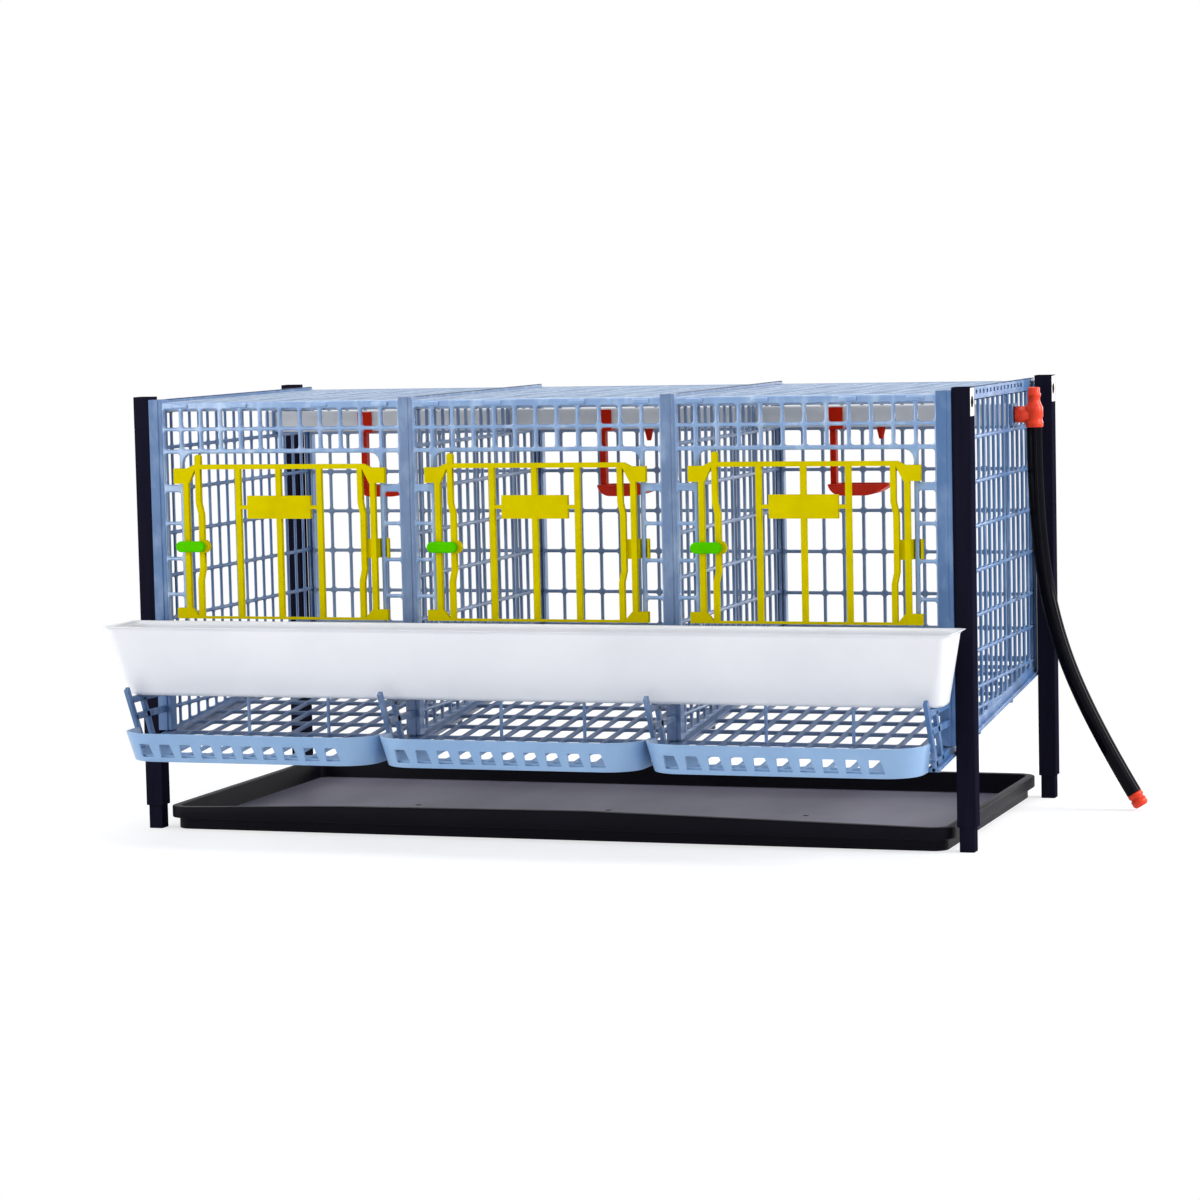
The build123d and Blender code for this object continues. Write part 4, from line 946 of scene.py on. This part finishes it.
def trough_ring(part, height, inset):
    """One level ring of the trough's wall, drawn in by an inset."""
    rise = min(1.0, (height - TROUGH_LOW) / (TROUGH_SHOULDER - TROUGH_LOW))
    curl = max(0.0, (height - TROUGH_SHOULDER) / (TROUGH_TOP - TROUGH_SHOULDER)) ** 2
    sizes = (TROUGH_HALVES, TROUGH_FRONTS, TROUGH_REARS, TROUGH_CORNERS)
    half, front, rear, corner = (foot + (shoulder - foot) * rise + (rim - shoulder) * curl
                                 for foot, shoulder, rim in sizes)
    reach = corner + inset
    centres = [(half - reach, rear - reach), (reach - half, rear - reach), (reach - half, front + reach),
               (half - reach, front + reach)]
    ring = []
    for quarter, (x, y) in enumerate(centres):
        for step in range(CORNER_STEPS + 1):
            angle = math.pi / 2 * (quarter + step / CORNER_STEPS)
            ring.append(part.verts.new((x + corner * math.cos(angle), y + corner * math.sin(angle), height)))
    return ring


def foot_rings(part, inset):
    """Rings that round the trough's bottom into its wall, from the bottom up."""
    turns = [math.pi / 2 * step / FOOT_STEPS for step in range(FOOT_STEPS + 1)]
    return [trough_ring(part, TROUGH_LOW + inset + TROUGH_ROUND * (1 - math.cos(turn)),
                        inset + TROUGH_ROUND * (1 - math.sin(turn))) for turn in turns]


def make_trough():
    """The feed trough: up its outer face, over the rim and down its inner face."""
    part = bmesh.new()
    curl = TROUGH_TOP - TROUGH_SHOULDER
    heights = [TROUGH_SHOULDER + curl * step / CURL_STEPS for step in range(CURL_STEPS + 1)]
    rings = foot_rings(part, 0.0)
    rings += [trough_ring(part, height, 0.0) for height in heights]
    rings += [trough_ring(part, height, TROUGH_WALL) for height in heights[::-1]]
    rings += foot_rings(part, TROUGH_WALL)[::-1]
    close_rings(part, rings)
    piece("white_trough", part, white_pp, ["feed_trough"])


make_trough()

# Latches and nipples, and pieces that keep the CAD shape and get moulded edges
NIPPLE = ((6.6, 0.0), (6.6, -1.5), (3.4, -16.0), (2.6, -17.3))
for bay, middle in BAY_MIDDLES.items():
    make_latch(bay, middle)
    shape = bmesh.new()
    add_cad(shape, f"door_{bay}", edge=1.5, steps=3)
    add_cad(shape, f"door_clip_{bay}", edge=0.8)
    piece(f"yellow_door_{bay}", shape, yellow_pp, [f"door_{bay}", f"door_clip_{bay}"])
    shape = bmesh.new()
    add_cad(shape, f"drinker_{bay}", edge=0.8)
    piece(f"red_drinker_{bay}", shape, red_abs, [f"drinker_{bay}"])
    low_corner, high_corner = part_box(f"nipple_{bay}")
    nipple_x = METRE * (low_corner[0] + high_corner[0]) / 2
    nipple_top = METRE * high_corner[2]
    shape = bmesh.new()
    add_turned(shape, NIPPLE, Matrix.Translation((nipple_x, PIPE_DEPTH, nipple_top)), sides=20)
    piece(f"red_nipple_{bay}", shape, red_abs, [f"nipple_{bay}"])
for corner in ("front_left", "front_right", "rear_left", "rear_right"):
    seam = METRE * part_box(f"post_socket_{corner}")[0][2]
    nodes = [f"post_{corner}", f"post_socket_{corner}"]
    shape = bmesh.new()
    for node in nodes:
        add_cad(shape, node, edge=0.8, seam=seam)
    piece(f"black_post_{corner}", shape, black_pvc, nodes)
for name, node, edge, material, slot in (
        ("lock_plates", "post_lock_plates", 0.3, plate_nylon, "bright_plate"),
        ("black_tray", "manure_tray", 1.2, black_hips, "black_tray"),
        ("grey_pipe", "water_pipe", 1.2, grey_pvc, "grey_pipe"),
        ("grey_pipe_plug", "pipe_end_plug", 0.8, grey_pvc, "grey_pipe")):
    shape = bmesh.new()
    add_cad(shape, node, edge)
    piece(name, shape, material, [node])

# Pale floor that turns to plain white away from the cage, and soft studio light, in metres and watts
STUDIO_HALF = 12.0
NEAR_FLOOR, FAR_FLOOR = 0.75, 1.25
FLOOR_GLOW = 0.62
WORLD_LIGHT = 0.28
WHITE = linear("#ffffff")


def looked_at(tree):
    """1 for a ray that sees the studio straight on, through something clear or in a reflection, else 0."""
    sight = add(tree, "ShaderNodeLightPath").outputs
    either = sight["Is Camera Ray"]
    for ray in ("Is Transmission Ray", "Is Glossy Ray"):
        either = add(tree, "ShaderNodeMath", {0: either, 1: sight[ray]}, operation="MAXIMUM").outputs[0]
    return either


floor_mesh = bpy.data.meshes.new("studio_floor")
floor_corners = rectangle(-STUDIO_HALF, STUDIO_HALF, -STUDIO_HALF, STUDIO_HALF)
floor_mesh.from_pydata([(x, y, 0) for x, y in floor_corners], [], [(0, 1, 2, 3)])
studio_floor = bpy.data.objects.new("studio_floor", floor_mesh)
scene.collection.objects.link(studio_floor)
# White studio paper: dull, pale, and lit from itself where it is looked at
paper = bpy.data.materials.new("white_studio_paper")
paper.use_nodes = True
tree = paper.node_tree
tree.nodes.clear()
place = add(tree, "ShaderNodeTexCoord").outputs["Object"]
away = add(tree, "ShaderNodeVectorMath", {0: place}, operation="LENGTH")
far = add(tree, "ShaderNodeMapRange", {
    "Value": away.outputs["Value"], "From Min": NEAR_FLOOR, "From Max": FAR_FLOOR})
lit = add(tree, "ShaderNodeBsdfDiffuse", {"Color": linear("#f4f4f4")})
seen_lit = add(tree, "ShaderNodeBsdfDiffuse", {"Color": linear("#b4b4b6")})
glow = add(tree, "ShaderNodeEmission", {"Color": WHITE, "Strength": FLOOR_GLOW})
near_seen = add(tree, "ShaderNodeAddShader", {0: seen_lit.outputs[0], 1: glow.outputs[0]})
white = add(tree, "ShaderNodeEmission", {"Color": WHITE, "Strength": 1.0})
seen = add(tree, "ShaderNodeMixShader", {
    "Fac": far.outputs["Result"], 1: near_seen.outputs[0], 2: white.outputs[0]})
both = add(tree, "ShaderNodeMixShader", {"Fac": looked_at(tree), 1: lit.outputs[0], 2: seen.outputs[0]})
add(tree, "ShaderNodeOutputMaterial", {"Surface": both.outputs[0]})
floor_mesh.materials.append(paper)

world = bpy.data.worlds.new("studio")
scene.world = world
world.use_nodes = True
tree = world.node_tree
tree.nodes.clear()
soft = add(tree, "ShaderNodeBackground", {"Color": WHITE, "Strength": WORLD_LIGHT})
white = add(tree, "ShaderNodeBackground", {"Color": WHITE, "Strength": 1.0})
both = add(tree, "ShaderNodeMixShader", {"Fac": looked_at(tree), 1: soft.outputs[0], 2: white.outputs[0]})
add(tree, "ShaderNodeOutputWorld", {"Surface": both.outputs[0]})


def softbox(name, place, aim, size, power):
    """A rectangular studio light turned towards a point."""
    data = bpy.data.lights.new(name, "AREA")
    data.shape = "RECTANGLE"
    data.size, data.size_y = size
    data.energy = power
    made = bpy.data.objects.new(name, data)
    scene.collection.objects.link(made)
    made.location = place
    made.rotation_euler = (Vector(aim) - Vector(place)).to_track_quat("-Z", "Y").to_euler()


softbox("key_left", (-2.6, -2.8, 1.3), aim=(0, 0, 0.35), size=(2.0, 2.6), power=60)
softbox("strip_above", (0.6, -3.0, 2.6), aim=(0, 0, 0.45), size=(2.6, 0.2), power=14)
softbox("fill_right", (3.6, -1.8, 1.7), aim=(0.3, 0.1, 0.35), size=(1.6, 1.6), power=14)
softbox("strip_right", (3.0, -2.8, 1.4), aim=(0.3, 0.1, 0.35), size=(0.14, 2.6), power=12)
softbox("side_right", (4.2, 0.6, 1.8), aim=(0.4, 0.1, 0.35), size=(1.6, 2.0), power=140)
softbox("back_right", (2.4, 4.0, 1.3), aim=(0.56, 0.2, 0.4), size=(2.0, 1.6), power=45)
softbox("side_left", (-4.0, -0.6, 1.6), aim=(-0.4, 0.1, 0.35), size=(1.6, 2.0), power=40)
softbox("top", (0, 0.2, 3.2), aim=(0, 0, 0.3), size=(3.0, 2.0), power=56)

scene.view_settings.view_transform = "Standard"
